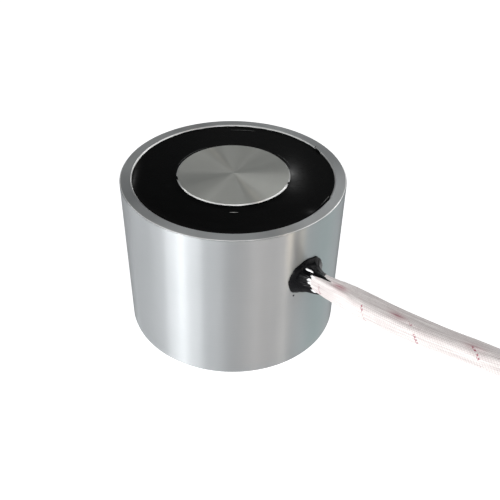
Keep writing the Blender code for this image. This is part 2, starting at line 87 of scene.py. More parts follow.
# The sleeve's route past the lead hole. Near the seal it runs up to 1.3 mm above the CAD model's
SLEEVE_ROUTE = [
    (0.0286, -0.0356, 0.0397),
    (0.0334, -0.0397, 0.0397),
    (0.0389, -0.0425, 0.0385),
    (0.0489, -0.0470, 0.0357),
    (0.0587, -0.0509, 0.0332),
    (0.0690, -0.0542, 0.0306),
    (0.0792, -0.0570, 0.0279),
    (0.0893, -0.0592, 0.0246),
    (0.0990, -0.0603, 0.0206),
    (0.1085, -0.0600, 0.0158),
    (0.1178, -0.0578, 0.0107),
    (0.1262, -0.0535, 0.0068),
    (0.1333, -0.0470, 0.0048),
    (0.1386, -0.0388, 0.0044),
    (0.1418, -0.0292, 0.0044),
    (0.1430, -0.0190, 0.0044),
    (0.1434, -0.0085, 0.0044),
    (0.1433, 0.0020, 0.0044),
    (0.1433, 0.0125, 0.0044),
    (0.1438, 0.0230, 0.0045),
    (0.1450, 0.0334, 0.0049),
    (0.1468, 0.0438, 0.0055),
    (0.1490, 0.0537, 0.0057),
]

# Route of a tail wire past the sleeve's end: (along, across, height)
TAIL_ROUTE = [
    (0.0060, 0.00115, 0.0056),
    (0.0120, 0.0017, 0.0050),
    (0.0190, 0.0034, 0.0031),
    (0.0260, 0.0057, 0.0016),
    (0.0340, 0.0082, 0.0010),
]

# Camera
CAMERA_TARGET = (0.00631568, -0.00591119, 0.030)
CAMERA_DISTANCE = 0.2542
CAMERA_AZIMUTH = math.radians(-1.806)
CAMERA_ELEVATION = math.radians(37.959)
CAMERA_ROLL = math.radians(1.4125)
CAMERA_LENS = 48.8
SENSOR_WIDTH = 36.0

WHITE = (1.0, 1.0, 1.0)

# Soft lights: name, azimuth and elevation in degrees, distance, width, height, power, colour
LIGHTS = [
    ("key_left", -47, 7, 0.90, 0.13, 0.20, 0.95, WHITE),
    ("key_skirt", -46, 7, 0.96, 0.60, 0.20, 5.30, WHITE),
    ("front_left", -20, 8, 1.00, 0.40, 0.24, 1.14, WHITE),
    ("front_right", 32, 8, 1.00, 0.60, 0.24, 0.86, WHITE),
    ("right_warm", 51, 27, 0.90, 0.03, 0.20, 0.50, (1.0, 0.90, 0.80)),
    ("right_back_high", 124, 52, 0.95, 0.56, 0.36, 0.21, WHITE),
    ("front_mid", 0, 42, 1.00, 0.80, 0.20, 1.67, WHITE),
    ("right_mid", 76, 34, 1.00, 0.50, 0.20, 0.56, WHITE),
    ("back_right_low", 144, 18, 1.00, 0.30, 0.20, 0.20, WHITE),
    ("back_low", 160, 3, 1.00, 0.30, 0.10, 0.24, WHITE),
    ("back_glow", 169, 34, 1.00, 0.46, 0.20, 0.11, WHITE),
    ("front_side", 31, 42, 1.00, 0.36, 0.20, 0.18, WHITE),
    ("left_wide", -88, 8, 1.00, 0.80, 0.24, 2.20, WHITE),
    ("left_fill", -67, 8, 1.00, 0.36, 0.24, 0.43, WHITE),
    ("right_edge", 108, 26, 1.00, 0.46, 0.20, 0.63, WHITE),
    ("right_back", 128, 24, 1.00, 0.44, 0.20, 0.35, WHITE),
    ("right_top", 95, 44, 1.00, 0.30, 0.20, 0.15, WHITE),
    ("left_top", -76, 34, 1.00, 0.30, 0.20, 0.18, WHITE),
]

# Strength of the grey surrounding and of the floor's own light, and the middle that the lights aim at
SURROUNDING = 0.249
SURROUNDING_COLOUR = (0.96, 0.98, 1.0)
FLOOR_GLOW = 0.80
AIM_HEIGHT = 0.03
FLOOR_REACH = 3.0
FLOOR_DROP = 0.0002

# How close the marks, the haze and the smears of turned steel lie
MARK_SCALE = 2600.0
WIDE_MARK_SCALE = 300.0
HAZE_SCALE = 26.0
SMEAR_SCALE = (90.0, 90.0, 14.0)

# Painted reflections and shade on turned steel, as faint tints: on the cup a warm reflected streak high on
# the wall beside the seal, with lighter and darker bands round it. Rows are (azimuth, half width, height of
# half tint, run of its fade, factor)
CUP_PAINTED_LIGHT = [
    (27.3, 2.2, 0.046, 0.026, (1.62, 1.55, 1.42)),
    (33.5, 2.8, 0.040, 0.030, (1.30, 1.23, 1.14)),
    (14.0, 15.0, 0.000, 0.010, (1.05, 1.00, 0.97)),
    (50.0, 13.0, 0.000, 0.010, (0.93, 1.03, 1.01)),
    (75.0, 6.0, 0.000, 0.010, (0.55, 0.60, 0.60)),
    (-78.0, 7.0, 0.000, 0.010, (1.14, 1.13, 1.12)),
    (-66.0, 5.0, 0.000, 0.010, (1.22, 1.22, 1.22)),
]
# Painted shade on the back of the rim face
RIM_PAINTED_LIGHT = [
    (-140.0, 70.0, 0.000, 0.010, (0.78, 0.78, 0.78)),
    (220.0, 70.0, 0.000, 0.010, (0.78, 0.78, 0.78)),
]
# Painted reflections and shade on the pole face: a lighter sector at the front right, darker sectors at the
# back
CORE_PAINTED_LIGHT = [
    (45.0, 25.0, 0.000, 0.010, (1.10, 1.10, 1.10)),
    (156.0, 24.0, 0.000, 0.010, (0.82, 0.82, 0.82)),
    (-204.0, 24.0, 0.000, 0.010, (0.82, 0.82, 0.82)),
    (-115.0, 35.0, 0.000, 0.010, (0.86, 0.86, 0.86)),
]

# Braided sleeve
BRAID_CARRIERS = 24
BRAID_FIRST_PITCH = 0.0108
BRAID_PITCH_GROWTH = 0.194
BRAID_EVEN_FROM = 0.075
BRAID_RELIEF = 0.00012
BRAID_WAVER = 0.00005
BRAID_CLEARANCE = 0.0002
BRAID_SIDES = 96
BRAID_STEP = 0.0003
BRAID_SEAM = math.radians(-100)

# Red tracer yarns and the stains that they leave, in turns round the sleeve and turns of a yarn.
# Tracers show where noise is over a level and up to a turn round the sleeve.
TRACER_LANE = 0.301
TRACER_HALF_WIDTH = 0.55
TRACER_GAPS = 0.52
TRACER_GAP_SCALE = 420.0
TRACER_END = 0.46
STAIN_RATE = 0.80
STAIN_PHASE = 0.404
STAIN_WIDTH = 0.12
STAIN_PLACE = 0.475
STAIN_HEIGHT = 0.055

# Painted light as a glow of the yarn: everywhere, and more on the upper side over its first turns
YARN_PAINTED_GLOW = 0.27
START_PAINTED_LIGHT = 0.30
START_PAINTED_LIGHT_TURNS = 2.0
START_PAINTED_LIGHT_FADE = 1.4
START_PAINTED_LIGHT_PLACE = 0.56
START_PAINTED_LIGHT_WIDTH = 0.12

# Section of the sleeve over its two wires: a soft box near the magnet and a circle further on. A
# fold runs along the box's corner, with a low swell beside it
BOX_HALF_WIDTH = 0.00397
BOX_HALF_HEIGHT = 0.00336
BOX_SQUARENESS = 4.0
ROUND_FROM = 0.082
ROUND_TO = 0.110
FOLD_PLACE = math.radians(7)
FOLD_WIDTH = math.radians(9)
SWELL_PLACE = 2.2 * FOLD_WIDTH
SWELL_WIDTH = 1.6 * FOLD_WIDTH
SWELL_SHARE = 0.4

# Lie of the section: (distance along the sleeve, turn in degrees, depth of the fold in mm, share of
# full size)
SLEEVE_FOLDS = [
    (0.000, 12, 0.00, 0.88),
    (0.011, 24, 0.10, 0.88),
    (0.015, 22, 0.35, 0.95),
    (0.018, 14, 0.20, 1.00),
    (0.022, 2, 0.10, 1.00),
    (0.030, -7, 0.05, 1.00),
    (0.037, -4, 0.08, 1.00),
    (0.0405, -1, 0.30, 1.00),
    (0.045, 0, 0.10, 1.00),
    (0.055, 2, 0.05, 0.97),
    (0.060, 1, 0.10, 0.97),
    (0.0635, 4, 0.30, 0.99),
    (0.070, 9, 0.22, 1.00),
    (0.080, 12, 0.10, 1.00),
    (0.240, 0, 0.00, 1.00),
]

# Epoxy seal: (angle round the lead, reach on the wall, reach along the sleeve), 0 degrees to the right
SEAL_EDGE = [
    (0, 0.0075, 0.0060),
    (25, 0.0074, 0.0060),
    (55, 0.0074, 0.0066),
    (75, 0.0073, 0.0070),
    (96, 0.0073, 0.0084),
    (106, 0.0075, 0.0108),
    (112, 0.0075, 0.0072),
    (120, 0.0076, 0.0050),
    (140, 0.0077, 0.0047),
    (160, 0.0076, 0.0044),
    (174, 0.0075, 0.0049),
    (190, 0.0074, 0.0060),
    (210, 0.0074, 0.0076),
    (225, 0.0069, 0.0088),
    (242, 0.0062, 0.0078),
    (270, 0.0061, 0.0062),
    (300, 0.0066, 0.0064),
    (330, 0.0072, 0.0062),
]

# Waver of the two reaches: (ragged, fine)
SEAL_REACH_WAVER = (0.0003, 0.00012)
SEAL_CLIMB_WAVER = (0.0004, 0.0005)

# Rows under the foot of the seal: (outwards, into the wall)
SEAL_FOOT = [(0.00012, 0.0009), (0.00014, 0.0003)]

# Surface of the seal: its lip, its flare to the wall, the bulge below it, its lumps, how far its foot
# stands off the wall, and how its lip tucks in towards a place inside the sleeve
SEAL_SIDES = 180
SEAL_ROWS = 30
SEAL_LIP = 0.00014
SEAL_FLARE = 0.0021
BELLY_ANGLE = 224
BELLY_SPREAD = 22
BELLY_LIFT = 0.0008
SEAL_LUMP = 0.00022
SEAL_LUMP_SCALE = 240
SEAL_STAND = 0.0005
SEAL_TUCK = 0.0005
SEAL_TUCK_AIM = 0.008

# Drop of epoxy beside the seal: (azimuth, height), its radius, and rows of (share of it, lift)
FLECK_PLACE = (math.radians(31), 0.0326)
FLECK_RADIUS = 0.00034
FLECK_ROWS = [(1.0, -0.2), (1.0, 0.0), (0.86, 0.3), (0.55, 0.5), (0.2, 0.58)]

# Frayed yarn ends in the seal, and a white tuft on the seal's flare that paints a highlight: (angle,
# spread, first and last share of the seal's reach, strands, radius)
FRAYED_ENDS_AND_HIGHLIGHT = [
    # Painted highlight: white strands lying on the seal's flare
    (110, 5, 0.27, 0.47, 5, 0.00030),
    (146, 7, 0.86, 1.06, 4, 0.00020),
    (163, 8, 0.95, 1.20, 4, 0.00013),
    (128, 10, 0.94, 1.20, 5, 0.00013),
    (196, 10, 0.94, 1.10, 4, 0.00012),
]

# Rows of the epoxy face, as shares of the way from the pole to the rim
POTTING_ROWS = [
    0.0, 0.012, 0.03, 0.055, 0.09, 0.14, 0.2, 0.3, 0.4,
    0.5, 0.6, 0.7, 0.8, 0.87, 0.92, 0.955, 0.98, 1.0,
]

# Where the epoxy face climbs: (height, waver of the height, run)
POLE_CLIMB = (0.00026, 0.00012, 0.0008)
RIM_CLIMB = (0.00022, 0.00010, 0.0010)

# How far the epoxy face dips and waves, stays off the steel, laps over the mouth's chamfer, stays
# below the top of the cup, and starts below the chamfer
FACE_DIP = 0.00016
FACE_WAVE = 0.00005
FACE_CLEARANCE = 0.00005
FACE_LAP = 0.00026
FACE_HEADROOM = 0.00003
FACE_TUCK = 0.0001

# Thread of the base hole
THREAD_PITCH = 0.0015
THREAD_DEPTH = 0.0004
THREAD_TURNS = 5
THREAD_STEPS = 48
THREAD_RUNOUT = 20
THREAD_START = 0.0009
THREAD_SINK = 0.00002

# Section of the thread: (share of the depth, share of the pitch)
THREAD_SECTION = [(0, -0.42), (1, -0.08), (1, 0.08), (0, 0.42)]

# Shrink wrap: a lip at its start, a waist between the wires and creases where it is drawn down
WRAP_EASE = 0.0001
WRAP_LIP = 0.00012
WRAP_LIP_RUN = 0.0008
WRAP_WAIST = 0.10
WRAP_WAIST_WIDTH = 0.25
WRAP_CREASES = (0.00003, 0.00018, 0.00004)

# Rows that close the wrap: (size against the ring beside it, shift along the sleeve)
WRAP_START_ROWS = [(0.87, 0.0010), (0.90, 0.0)]
WRAP_NOSE_ROWS = [(0.72, 0.0), (0.60, -0.0012)]

# Lead wires past the sleeve: (end of the winding, side, finish)
LEAD_ENDS = [("start", 1, "red_insulation"), ("finish", -1, "black_insulation")]
TAIL_FIT = 0.99
TAIL_STEP = 0.0006

# Tinned strands of a lead wire
STRAND_LAY = 0.0065
STRAND_COUNT = 7
STRAND_INSET = 0.0006
STRAND_NESTING = 0.96

# Painted reflections on the epoxy face, as grey patches: (azimuth, radius, half width, half length, tone)
POTTING_PAINTED_REFLECTIONS = [
    (math.radians(92), 0.0208, 0.0026, 0.0056, 0.22),
    (math.radians(70), 0.0216, 0.0022, 0.0026, 0.05),
    (math.radians(-83), 0.0350, 0.0008, 0.0084, 0.08),
    (math.radians(48), 0.0346, 0.0014, 0.0012, 0.06),
]

# Turned finishes: (name, dark and light display colour, roughness, anisotropy, groove, edge tint, painted
# reflections and shade)
TURNED_FINISHES = [
    # Painted shade: the cup's wall is the same steel as the rim and pole faces, given a darker tone
    ("wall_steel_painted_shade", (162, 165, 167), (179, 182, 184), 0.42, 1.0, 0.000004, 0.65, CUP_PAINTED_LIGHT),
    ("faced_steel", (197, 198, 192), (213, 214, 208), 0.42, 1.0, 0.000004, 1.0, CORE_PAINTED_LIGHT),
    ("rim_steel", (193, 195, 195), (209, 211, 211), 0.42, 1.0, 0.000004, 1.0, RIM_PAINTED_LIGHT),
    # Painted highlight: the chamfers are the same steel given a much lighter tone
    ("chamfer_painted_highlight", (240, 240, 238), (252, 252, 250), 0.36, 0.8, 0.000002, 1.0, []),
]

# Cast finishes: (name, colour, roughness, gloss, ripple, closeness of the waves, painted reflections)
CAST_FINISHES = [
    ("potting_black", (0.0012, 0.0013, 0.0013), 0.26, 0.03, 0.00002, 60.0, POTTING_PAINTED_REFLECTIONS),
    ("seal_black", (0.0010, 0.0010, 0.0016), 0.24, 0.09, 0.00003, 400.0, []),
]

# Plain finishes: (name, dark and light display colour, roughness, metallic, scale, grain, stretch)
PLAIN_FINISHES = [
    ("ridge_highlight_epoxy", (40, 41, 41), (70, 71, 70), 0.40, 0.0, 400, 0.00001, (1, 1, 1)),
    # Painted glints on the epoxy face
    ("glint_painted_epoxy", (104, 104, 102), (150, 150, 148), 0.40, 0.0, 400, 0.00001, (1, 1, 1)),
    ("glass_yarn", (236, 236, 238), (250, 250, 250), 0.60, 0.0, 900, 0.00002, (1, 1, 1)),
    ("enamelled_copper", (150, 70, 30), (184, 96, 44), 0.30, 0.9, 300, 0.00002, (1, 1, 12)),
    ("moulded_nylon", (214, 212, 200), (228, 226, 216), 0.50, 0.0, 400, 0.00001, (1, 1, 1)),
    ("film_tape", (196, 160, 60), (214, 180, 84), 0.35, 0.0, 200, 0.00001, (1, 1, 9)),
    ("nickel_plating", (150, 148, 140), (172, 170, 164), 0.25, 1.0, 400, 0.00001, (1, 1, 1)),
    ("splice_film", (206, 202, 190), (222, 218, 208), 0.45, 0.0, 400, 0.00001, (1, 1, 1)),
    ("red_insulation", (150, 26, 28), (172, 36, 36), 0.40, 0.0, 400, 0.00001, (1, 1, 1)),
    ("black_insulation", (24, 24, 25), (36, 36, 38), 0.40, 0.0, 400, 0.00001, (1, 1, 1)),
    ("shrink_film", (18, 18, 19), (28, 28, 30), 0.42, 0.0, 500, 0.00003, (1, 1, 1)),
    ("tinned_strands", (190, 192, 194), (215, 216, 217), 0.30, 1.0, 900, 0.00004, (1, 1, 1)),
]
HIDDEN_FINISHES = {
    "coil_winding": "enamelled_copper",
    "coil_start_wire": "enamelled_copper",
    "coil_finish_wire": "enamelled_copper",
    "coil_former": "moulded_nylon",
    "coil_tape": "film_tape",
    "permanent_magnet": "nickel_plating",
    "splice_sleeve_start": "splice_film",
    "splice_sleeve_finish": "splice_film",
    "lead_wire_start": "red_insulation",
    "lead_wire_finish": "black_insulation",
}

# Epoxy drawn over the steel, low ridges that carry painted glints, and low ridges in the face with a
# painted highlight: (first and last azimuth in degrees, first and last radius, half width, height)
EPOXY_SMEARS = [
    (-43, -38, 0.0357, 0.0354, 0.00042, 0.00008),
    (47, 66, 0.0353, 0.0358, 0.00036, 0.00006),
    (59, 66, 0.0358, 0.0360, 0.00042, 0.00008),
    (120.8, 122.6, 0.0350, 0.0370, 0.00022, 0.00008),
    (115, 121, 0.0355, 0.0358, 0.00030, 0.00006),
    (164, 170, 0.0203, 0.0200, 0.00034, 0.00010),
    (-84, -76, 0.0202, 0.0200, 0.00028, 0.00010),
    (69, 74, 0.0202, 0.0200, 0.00028, 0.00010),
    (150, 160, 0.0203, 0.0202, 0.00016, 0.00008),
]
FACE_PAINTED_GLINTS = [
    (-3.0, 4.0, 0.0239, 0.0239, 0.00011, 0.00012),
    (53, 67, 0.03500, 0.03525, 0.00013, 0.00026),
]
# Painted highlight: these ridges are drawn in grey epoxy
FACE_RIDGES = [
    (-195, -178, 0.0331, 0.0326, 0.00009, 0.00010),
    (-152, -106, 0.0212, 0.0208, 0.00012, 0.00016),
    (101, 131, 0.0211, 0.0215, 0.00012, 0.00016),
]


def linear(*display):
    """Scene-linear colour of a display colour given as 0 to 255."""
    values = []
    for value in display:
        share = value / 255
        values.append(share / 12.92 if share <= 0.04045 else ((share + 0.055) / 1.055) ** 2.4)
    return tuple(values)


def around(azimuth, radius, height):
    """A point at an azimuth and radius from the magnet's axis."""
    return Vector((radius * math.sin(azimuth), -radius * math.cos(azimuth), height))


def smooth_route(points, step):
    """Points about one step apart on a smooth curve through the given points."""
    ends = [2 * points[0] - points[1], *points, 2 * points[-1] - points[-2]]
    fine = [points[0]]
    for before, start, end, after in zip(ends, ends[1:], ends[2:], ends[3:]):
        for i in range(1, ROUTE_SAMPLES + 1):
            t = i / ROUTE_SAMPLES
            curve = (
                2 * start
                + (end - before) * t
                + (2 * before - 5 * start + 4 * end - after) * t**2
                + (3 * start - before - 3 * end + after) * t**3
            )
            fine.append(curve / 2)
    along = [0.0]
    for start, end in zip(fine, fine[1:]):
        along.append(along[-1] + (end - start).length)
    count = max(2, round(along[-1] / step))
    spaced = []
    at = 0
    for i in range(count + 1):
        target = along[-1] * i / count
        while at < len(fine) - 2 and along[at + 1] < target:
            at += 1
        share = (target - along[at]) / (along[at + 1] - along[at])
        spaced.append(fine[at].lerp(fine[at + 1], share))
    return spaced


def turns_of(sides):
    """The turns of evenly spaced points round a circle."""
    return [2 * math.pi * k / sides for k in range(sides)]


def noise_at(x, y, z):
    return noise.noise(Vector((x, y, z)))


def linked_object(name, data):
    """An object with its data in the scene."""
    obj = bpy.data.objects.new(name, data)
    bpy.context.scene.collection.objects.link(obj)
    return obj


def add_mesh(name, points, faces, material, body="root"):
    """A smooth mesh object that rides on a CAD body."""
    mesh = bpy.data.meshes.new(name)
    mesh.from_pydata(points, [], faces)
    mesh.shade_smooth()
    mesh.materials.append(material)
    obj = linked_object(name, mesh)
    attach(obj, body)
    return obj


def grid_faces(rows, sides, first=0):
    """Quads of a tube whose rows of points follow each other."""
    faces = []
    for row in range(rows - 1):
        for i in range(sides):
            j = (i + 1) % sides
            a = first + row * sides
            b = a + sides
            faces.append((a + i, a + j, b + j, b + i))
    return faces


def circle(centre, across, up, radius, sides):
    """Points on a circle round a centre."""
    return [
        centre + (across * math.cos(turn) + up * math.sin(turn)) * radius
        for turn in turns_of(sides)
    ]


def tube_mesh(name, tubes, material):
    """Tubes through rings of points, each closed by a flat face at both ends."""
    points = []
    faces = []
    for rings in tubes:
        sides = len(rings[0])
        first = len(points)
        last = first + (len(rings) - 1) * sides
        for ring in rings:
            points += ring
        faces += grid_faces(len(rings), sides, first)
        faces.append(tuple(range(first, first + sides))[::-1])
        faces.append(tuple(range(last, last + sides)))
    return add_mesh(name, points, faces, material)


def eased(share):
    """A share kept from 0 to 1 that starts and ends softly."""
    share = min(max(share, 0.0), 1.0)
    return share * share * (3 - 2 * share)


def new_material(name):
    material = bpy.data.materials.new(name)
    material.use_nodes = True
    return material, material.node_tree, material.node_tree.nodes["Principled BSDF"]


def feed_socket(socket, value):
    """Link a socket to an input, or set the input to a fixed value."""
    if isinstance(value, bpy.types.NodeSocket):
        socket.id_data.links.new(value, socket)
    else:
        socket.default_value = value


def feed(node, **inputs):
    """Feed a node's named inputs with sockets or fixed values."""
    for key, value in inputs.items():
        feed_socket(node.inputs[key.replace("_", " ")], value)


def add_node(tree, kind, settings=None, **inputs):
    """A shader node with its settings and inputs."""
    made = tree.nodes.new(kind)
    for key, value in (settings or {}).items():
        setattr(made, key, value)
    feed(made, **inputs)
    return made


def math_node(operation, *values):
    """The output of a math node on sockets and numbers."""
    sockets = [value for value in values if isinstance(value, bpy.types.NodeSocket)]
    made = add_node(sockets[0].id_data, "ShaderNodeMath", {"operation": operation})
    for socket, value in zip(made.inputs, values):
        feed_socket(socket, value)
    return made.outputs[0]


def times(first, second):
    return math_node("MULTIPLY", first, second)


def plus(first, second):
    return math_node("ADD", first, second)


def minus(first, second):
    return math_node("SUBTRACT", first, second)


def times_plus(first, second, third):
    return math_node("MULTIPLY_ADD", first, second, third)


def ramp_node(factor, *stops):
    """A colour ramp between two (place, colour) stops, fed by a socket."""
    made = add_node(factor.id_data, "ShaderNodeValToRGB")
    for element, (place, colour) in zip(made.color_ramp.elements, stops):
        element.position = place
        element.color = (*colour, 1.0)
    feed_socket(made.inputs[0], factor)
    return made.outputs[0]


def noise_node(vector, scale, detail=3.0, roughness=0.55):
    made = add_node(vector.id_data, "ShaderNodeTexNoise", Vector=vector)
    feed(made, Scale=scale, Detail=detail, Roughness=roughness)
    return made.outputs["Fac"]


def vector_node(operation, vector, other=(0.0, 0.0, 0.0)):
    """The outputs of a vector operation on a socket and a fixed vector."""
    made = add_node(vector.id_data, "ShaderNodeVectorMath", {"operation": operation})
    feed_socket(made.inputs[0], vector)
    feed_socket(made.inputs[1], other)
    return made.outputs


def scaled(vector, scale):
    """A vector socket scaled along each axis."""
    return vector_node("MULTIPLY", vector, scale)[0]


def length_of(vector):
    return vector_node("LENGTH", vector)["Value"]


def split_xyz(vector):
    return add_node(vector.id_data, "ShaderNodeSeparateXYZ", Vector=vector).outputs


def combined(*values):
    """A vector of three values, of which the first is a socket."""
    made = add_node(values[0].id_data, "ShaderNodeCombineXYZ")
    for socket, value in zip(made.inputs, values):
        feed_socket(socket, value)
    return made.outputs[0]


def clamped(value):
    """A socket's value kept from 0 to 1."""
    return math_node("MINIMUM", math_node("MAXIMUM", value, 0.0), 1.0)


def bell(value, width):
    """A soft bump round zero with a half width."""
    share = math_node("DIVIDE", math_node("ABSOLUTE", value), width)
    return math_node("EXPONENT", times(math_node("POWER", share, 2.0), -1.0))


def mix_node(factor, first, second, blend="MIX"):
    """A colour socket mixed with a fixed colour by a factor socket."""
    settings = {"data_type": "RGBA", "blend_type": blend}
    made = add_node(factor.id_data, "ShaderNodeMix", settings, Factor=factor, A=first, B=(*second, 1.0))
    return made.outputs["Result"]


def bump_node(shader, height, distance, strength=1.0, before=None):
    """Bump on the shader's normal from a height socket, over an earlier bump."""
    made = add_node(shader.id_data, "ShaderNodeBump", Strength=strength, Distance=distance, Height=height)
    if before:
        feed(made, Normal=before)
    feed(shader, Normal=made.outputs[0])
    return made.outputs[0]


def object_point(tree):
    return tree.nodes.new("ShaderNodeTexCoord").outputs["Object"]


def round_coordinates(tree):
    """Place, radius, height and azimuth in degrees of a shaded point on the magnet's axis."""
    point = object_point(tree)
    axes = split_xyz(point)
    radius = length_of(scaled(point, (1.0, 1.0, 0.0)))
    azimuth = math_node("ARCTAN2", axes["X"], times(axes["Y"], -1.0))
    return point, radius, axes["Z"], times(azimuth, 180 / math.pi)


def turned_metal(name, dark, light, roughness, anisotropy, groove, edge_tint, painted_light):
    """Metal turned on a lathe: marks run round the axis, with uneven haze over them, and painted
    reflections and shade as tints at (azimuth in degrees, half width, height of half tint, run of its fade,
    colour factor)."""
    material, tree, shader = new_material(name)
    point, radius, height, azimuth = round_coordinates(tree)
    step = plus(radius, height)
    marks = noise_node(combined(times(step, MARK_SCALE), 0.0, 0.0), 1.0, 4.0, 0.7)
    wide = noise_node(combined(times(step, WIDE_MARK_SCALE), 0.0, 0.0), 1.0, 2.0)
    haze = noise_node(point, HAZE_SCALE)
    smear = noise_node(scaled(point, SMEAR_SCALE), 1.0)
    tone = times_plus(haze, 0.45, times(marks, 0.3))
    tone = plus(tone, times(smear, 0.25))
    colour = ramp_node(tone, (0.30, linear(*dark)), (0.70, linear(*light)))
    # Painted reflections and shade: the colour is multiplied by each tint, set by azimuth and height
    for place, width, level, fade, factor in painted_light:
        aside = bell(minus(azimuth, place), width)
        above = times_plus(minus(height, level), 1 / fade, 0.5)
        colour = mix_node(times(aside, clamped(above)), colour, factor, "MULTIPLY")
    rough = plus(times_plus(haze, 0.10, roughness - 0.07), times(wide, 0.04))
    feed(shader, Base_Color=colour, Roughness=rough, Metallic=1.0)
    feed(shader, Specular_Tint=(edge_tint, edge_tint, edge_tint, 1.0))
    feed(shader, Anisotropic=anisotropy, Anisotropic_Rotation=0.25)
    tangent = add_node(tree, "ShaderNodeTangent", {"direction_type": "RADIAL", "axis": "Z"})
    feed(shader, Tangent=tangent.outputs[0])
    bump_node(shader, marks, groove)
    return material


def cast_epoxy(name, colour, roughness, gloss, ripple, coarse, painted_reflections):
    """Black cast epoxy: glossy, with soft waves, a little dust and painted reflections as grey patches at
    (azimuth, radius, half width, half length, tone)."""
    material, tree, shader = new_material(name)
    point = object_point(tree)
    waves = noise_node(point, coarse, 2.0)
    grain = noise_node(point, 1500.0, 2.0)
    dust = noise_node(point, 420.0)
    lighter = tuple(3.0 * value for value in colour)
    tone = ramp_node(dust, (0.60, colour), (0.80, lighter))
    # Painted reflections: grey patches mixed into the colour
    for azimuth, radius, wide, long, amount in painted_reflections:
        spot = around(azimuth, radius, CUP_HEIGHT)
        moved = vector_node("SUBTRACT", point, spot)[0]
        away = length_of(scaled(moved, (1 / wide, 1 / long, 0.0)))
        fade = times(math_node("EXPONENT", times(away, -1.6)), times_plus(dust, 0.8, 0.6))
        tone = mix_node(fade, tone, (amount, amount, amount))
    rough = times_plus(dust, 0.22, roughness - 0.08)
    feed(shader, Base_Color=tone, Roughness=rough, Specular_IOR_Level=gloss)
    first = bump_node(shader, waves, ripple)
    bump_node(shader, grain, 0.000004, 0.5, first)
    return material


def yarn_stripe(phase, count):
    """How far a phase lies from the middle of its strand, from 0 to 1."""
    turn = math_node("FRACT", times(phase, count))
    return math_node("ABSOLUTE", times_plus(turn, 2.0, -1.0))


def parity(phase):
    """0 on even yarns and 1 on odd ones."""
    return times(math_node("FRACT", times(math_node("FLOOR", phase), 0.5)), 2.0)


def braid_shade(tree, first, second, over, along, across):
    """Darkness of the yarns: gaps between them, strands within them, fuzz and long streaks."""
    under = minus(1.0, over)
    strand = times_plus(yarn_stripe(second, 4.0), under, times(yarn_stripe(first, 4.0), over))
    edge = times_plus(yarn_stripe(second, 1.0), under, times(yarn_stripe(first, 1.0), over))
    fuzz = noise_node(object_point(tree), 900.0)
    streak = noise_node(combined(across, along, 0.0), 1.0, 2.0, 0.5)
    shade = plus(times(math_node("POWER", edge, 4.0), 0.5), times(strand, 0.16))
    shade = plus(shade, times(fuzz, 0.2))
    return plus(shade, times_plus(streak, 0.9, -0.40))


def tracer_yarn(tree, first, over, height_share):
    """Amount of red from the tracer yarns, fuzzy and broken."""
    lane = math_node("FRACT", math_node("DIVIDE", first, BRAID_CARRIERS))
    aside = math_node("ABSOLUTE", minus(lane, TRACER_LANE))
    near = math_node("LESS_THAN", aside, TRACER_HALF_WIDTH / BRAID_CARRIERS)
    broken = noise_node(object_point(tree), TRACER_GAP_SCALE, 2.0)
    ragged = math_node("GREATER_THAN", broken, TRACER_GAPS)
    ragged = times(ragged, math_node("LESS_THAN", height_share, TRACER_END))
    return times(times(near, times_plus(over, 0.75, 0.12)), ragged)


def tracer_stain(turns, height_share, along, across):
    """Amount of red in the stains, drawn out in wisps along the sleeve."""
    smear = math_node("FRACT", times_plus(turns, STAIN_RATE, STAIN_PHASE))
    smear = bell(minus(smear, 0.5), STAIN_WIDTH)
    aside = bell(minus(height_share, STAIN_PLACE), STAIN_HEIGHT)
    wisps = noise_node(combined(times(across, 2.0), along, 3.7), 1.0, 2.0, 0.5)
    wisp = math_node("MAXIMUM", times_plus(wisps, 2.6, -0.95), 0.0)
    return times(times(smear, aside), times_plus(wisp, 0.85, 0.20))


def braid_material():
    """White glass yarn in a fine braid, with fuzzy red tracer yarns in one direction."""
    material, tree, shader = new_material("braided_glass")
    phases = split_xyz(add_node(tree, "ShaderNodeUVMap", {"uv_map": "yarn"}).outputs[0])
    first = phases["X"]
    second = phases["Y"]
    both = plus(first, second)
    apart = minus(first, second)
    over = math_node("COMPARE", plus(parity(first), parity(second)), 1.0, 0.1)
    across = times(both, 0.8)
    along = times(apart, 0.03)
    turns = math_node("DIVIDE", apart, 2 * BRAID_CARRIERS)
    height_share = math_node("DIVIDE", both, 2 * BRAID_CARRIERS)
    shade = braid_shade(tree, first, second, over, along, across)
    white = ramp_node(shade, (0.0, linear(214, 210, 208)), (0.8, linear(150, 138, 138)))
    tracer = tracer_yarn(tree, first, over, height_share)
    stain = tracer_stain(turns, height_share, along, across)
    colour = mix_node(math_node("MINIMUM", plus(tracer, stain), 1.0), white, linear(132, 54, 72))
    # Painted light: an emission that lightens the whole sleeve, and its upper side more over the first
    # turns
    left = times_plus(turns, -START_PAINTED_LIGHT_FADE, START_PAINTED_LIGHT_FADE * START_PAINTED_LIGHT_TURNS)
    upper = bell(minus(height_share, START_PAINTED_LIGHT_PLACE), START_PAINTED_LIGHT_WIDTH)
    painted_glow = times_plus(times(clamped(left), upper), START_PAINTED_LIGHT, YARN_PAINTED_GLOW)
    feed(shader, Base_Color=colour, Emission_Color=colour, Emission_Strength=painted_glow)
    feed(shader, Roughness=0.62, Sheen_Weight=0.25, Sheen_Roughness=0.4)
    bump_node(shader, minus(1.0, shade), 0.00012, 0.6)
    return material


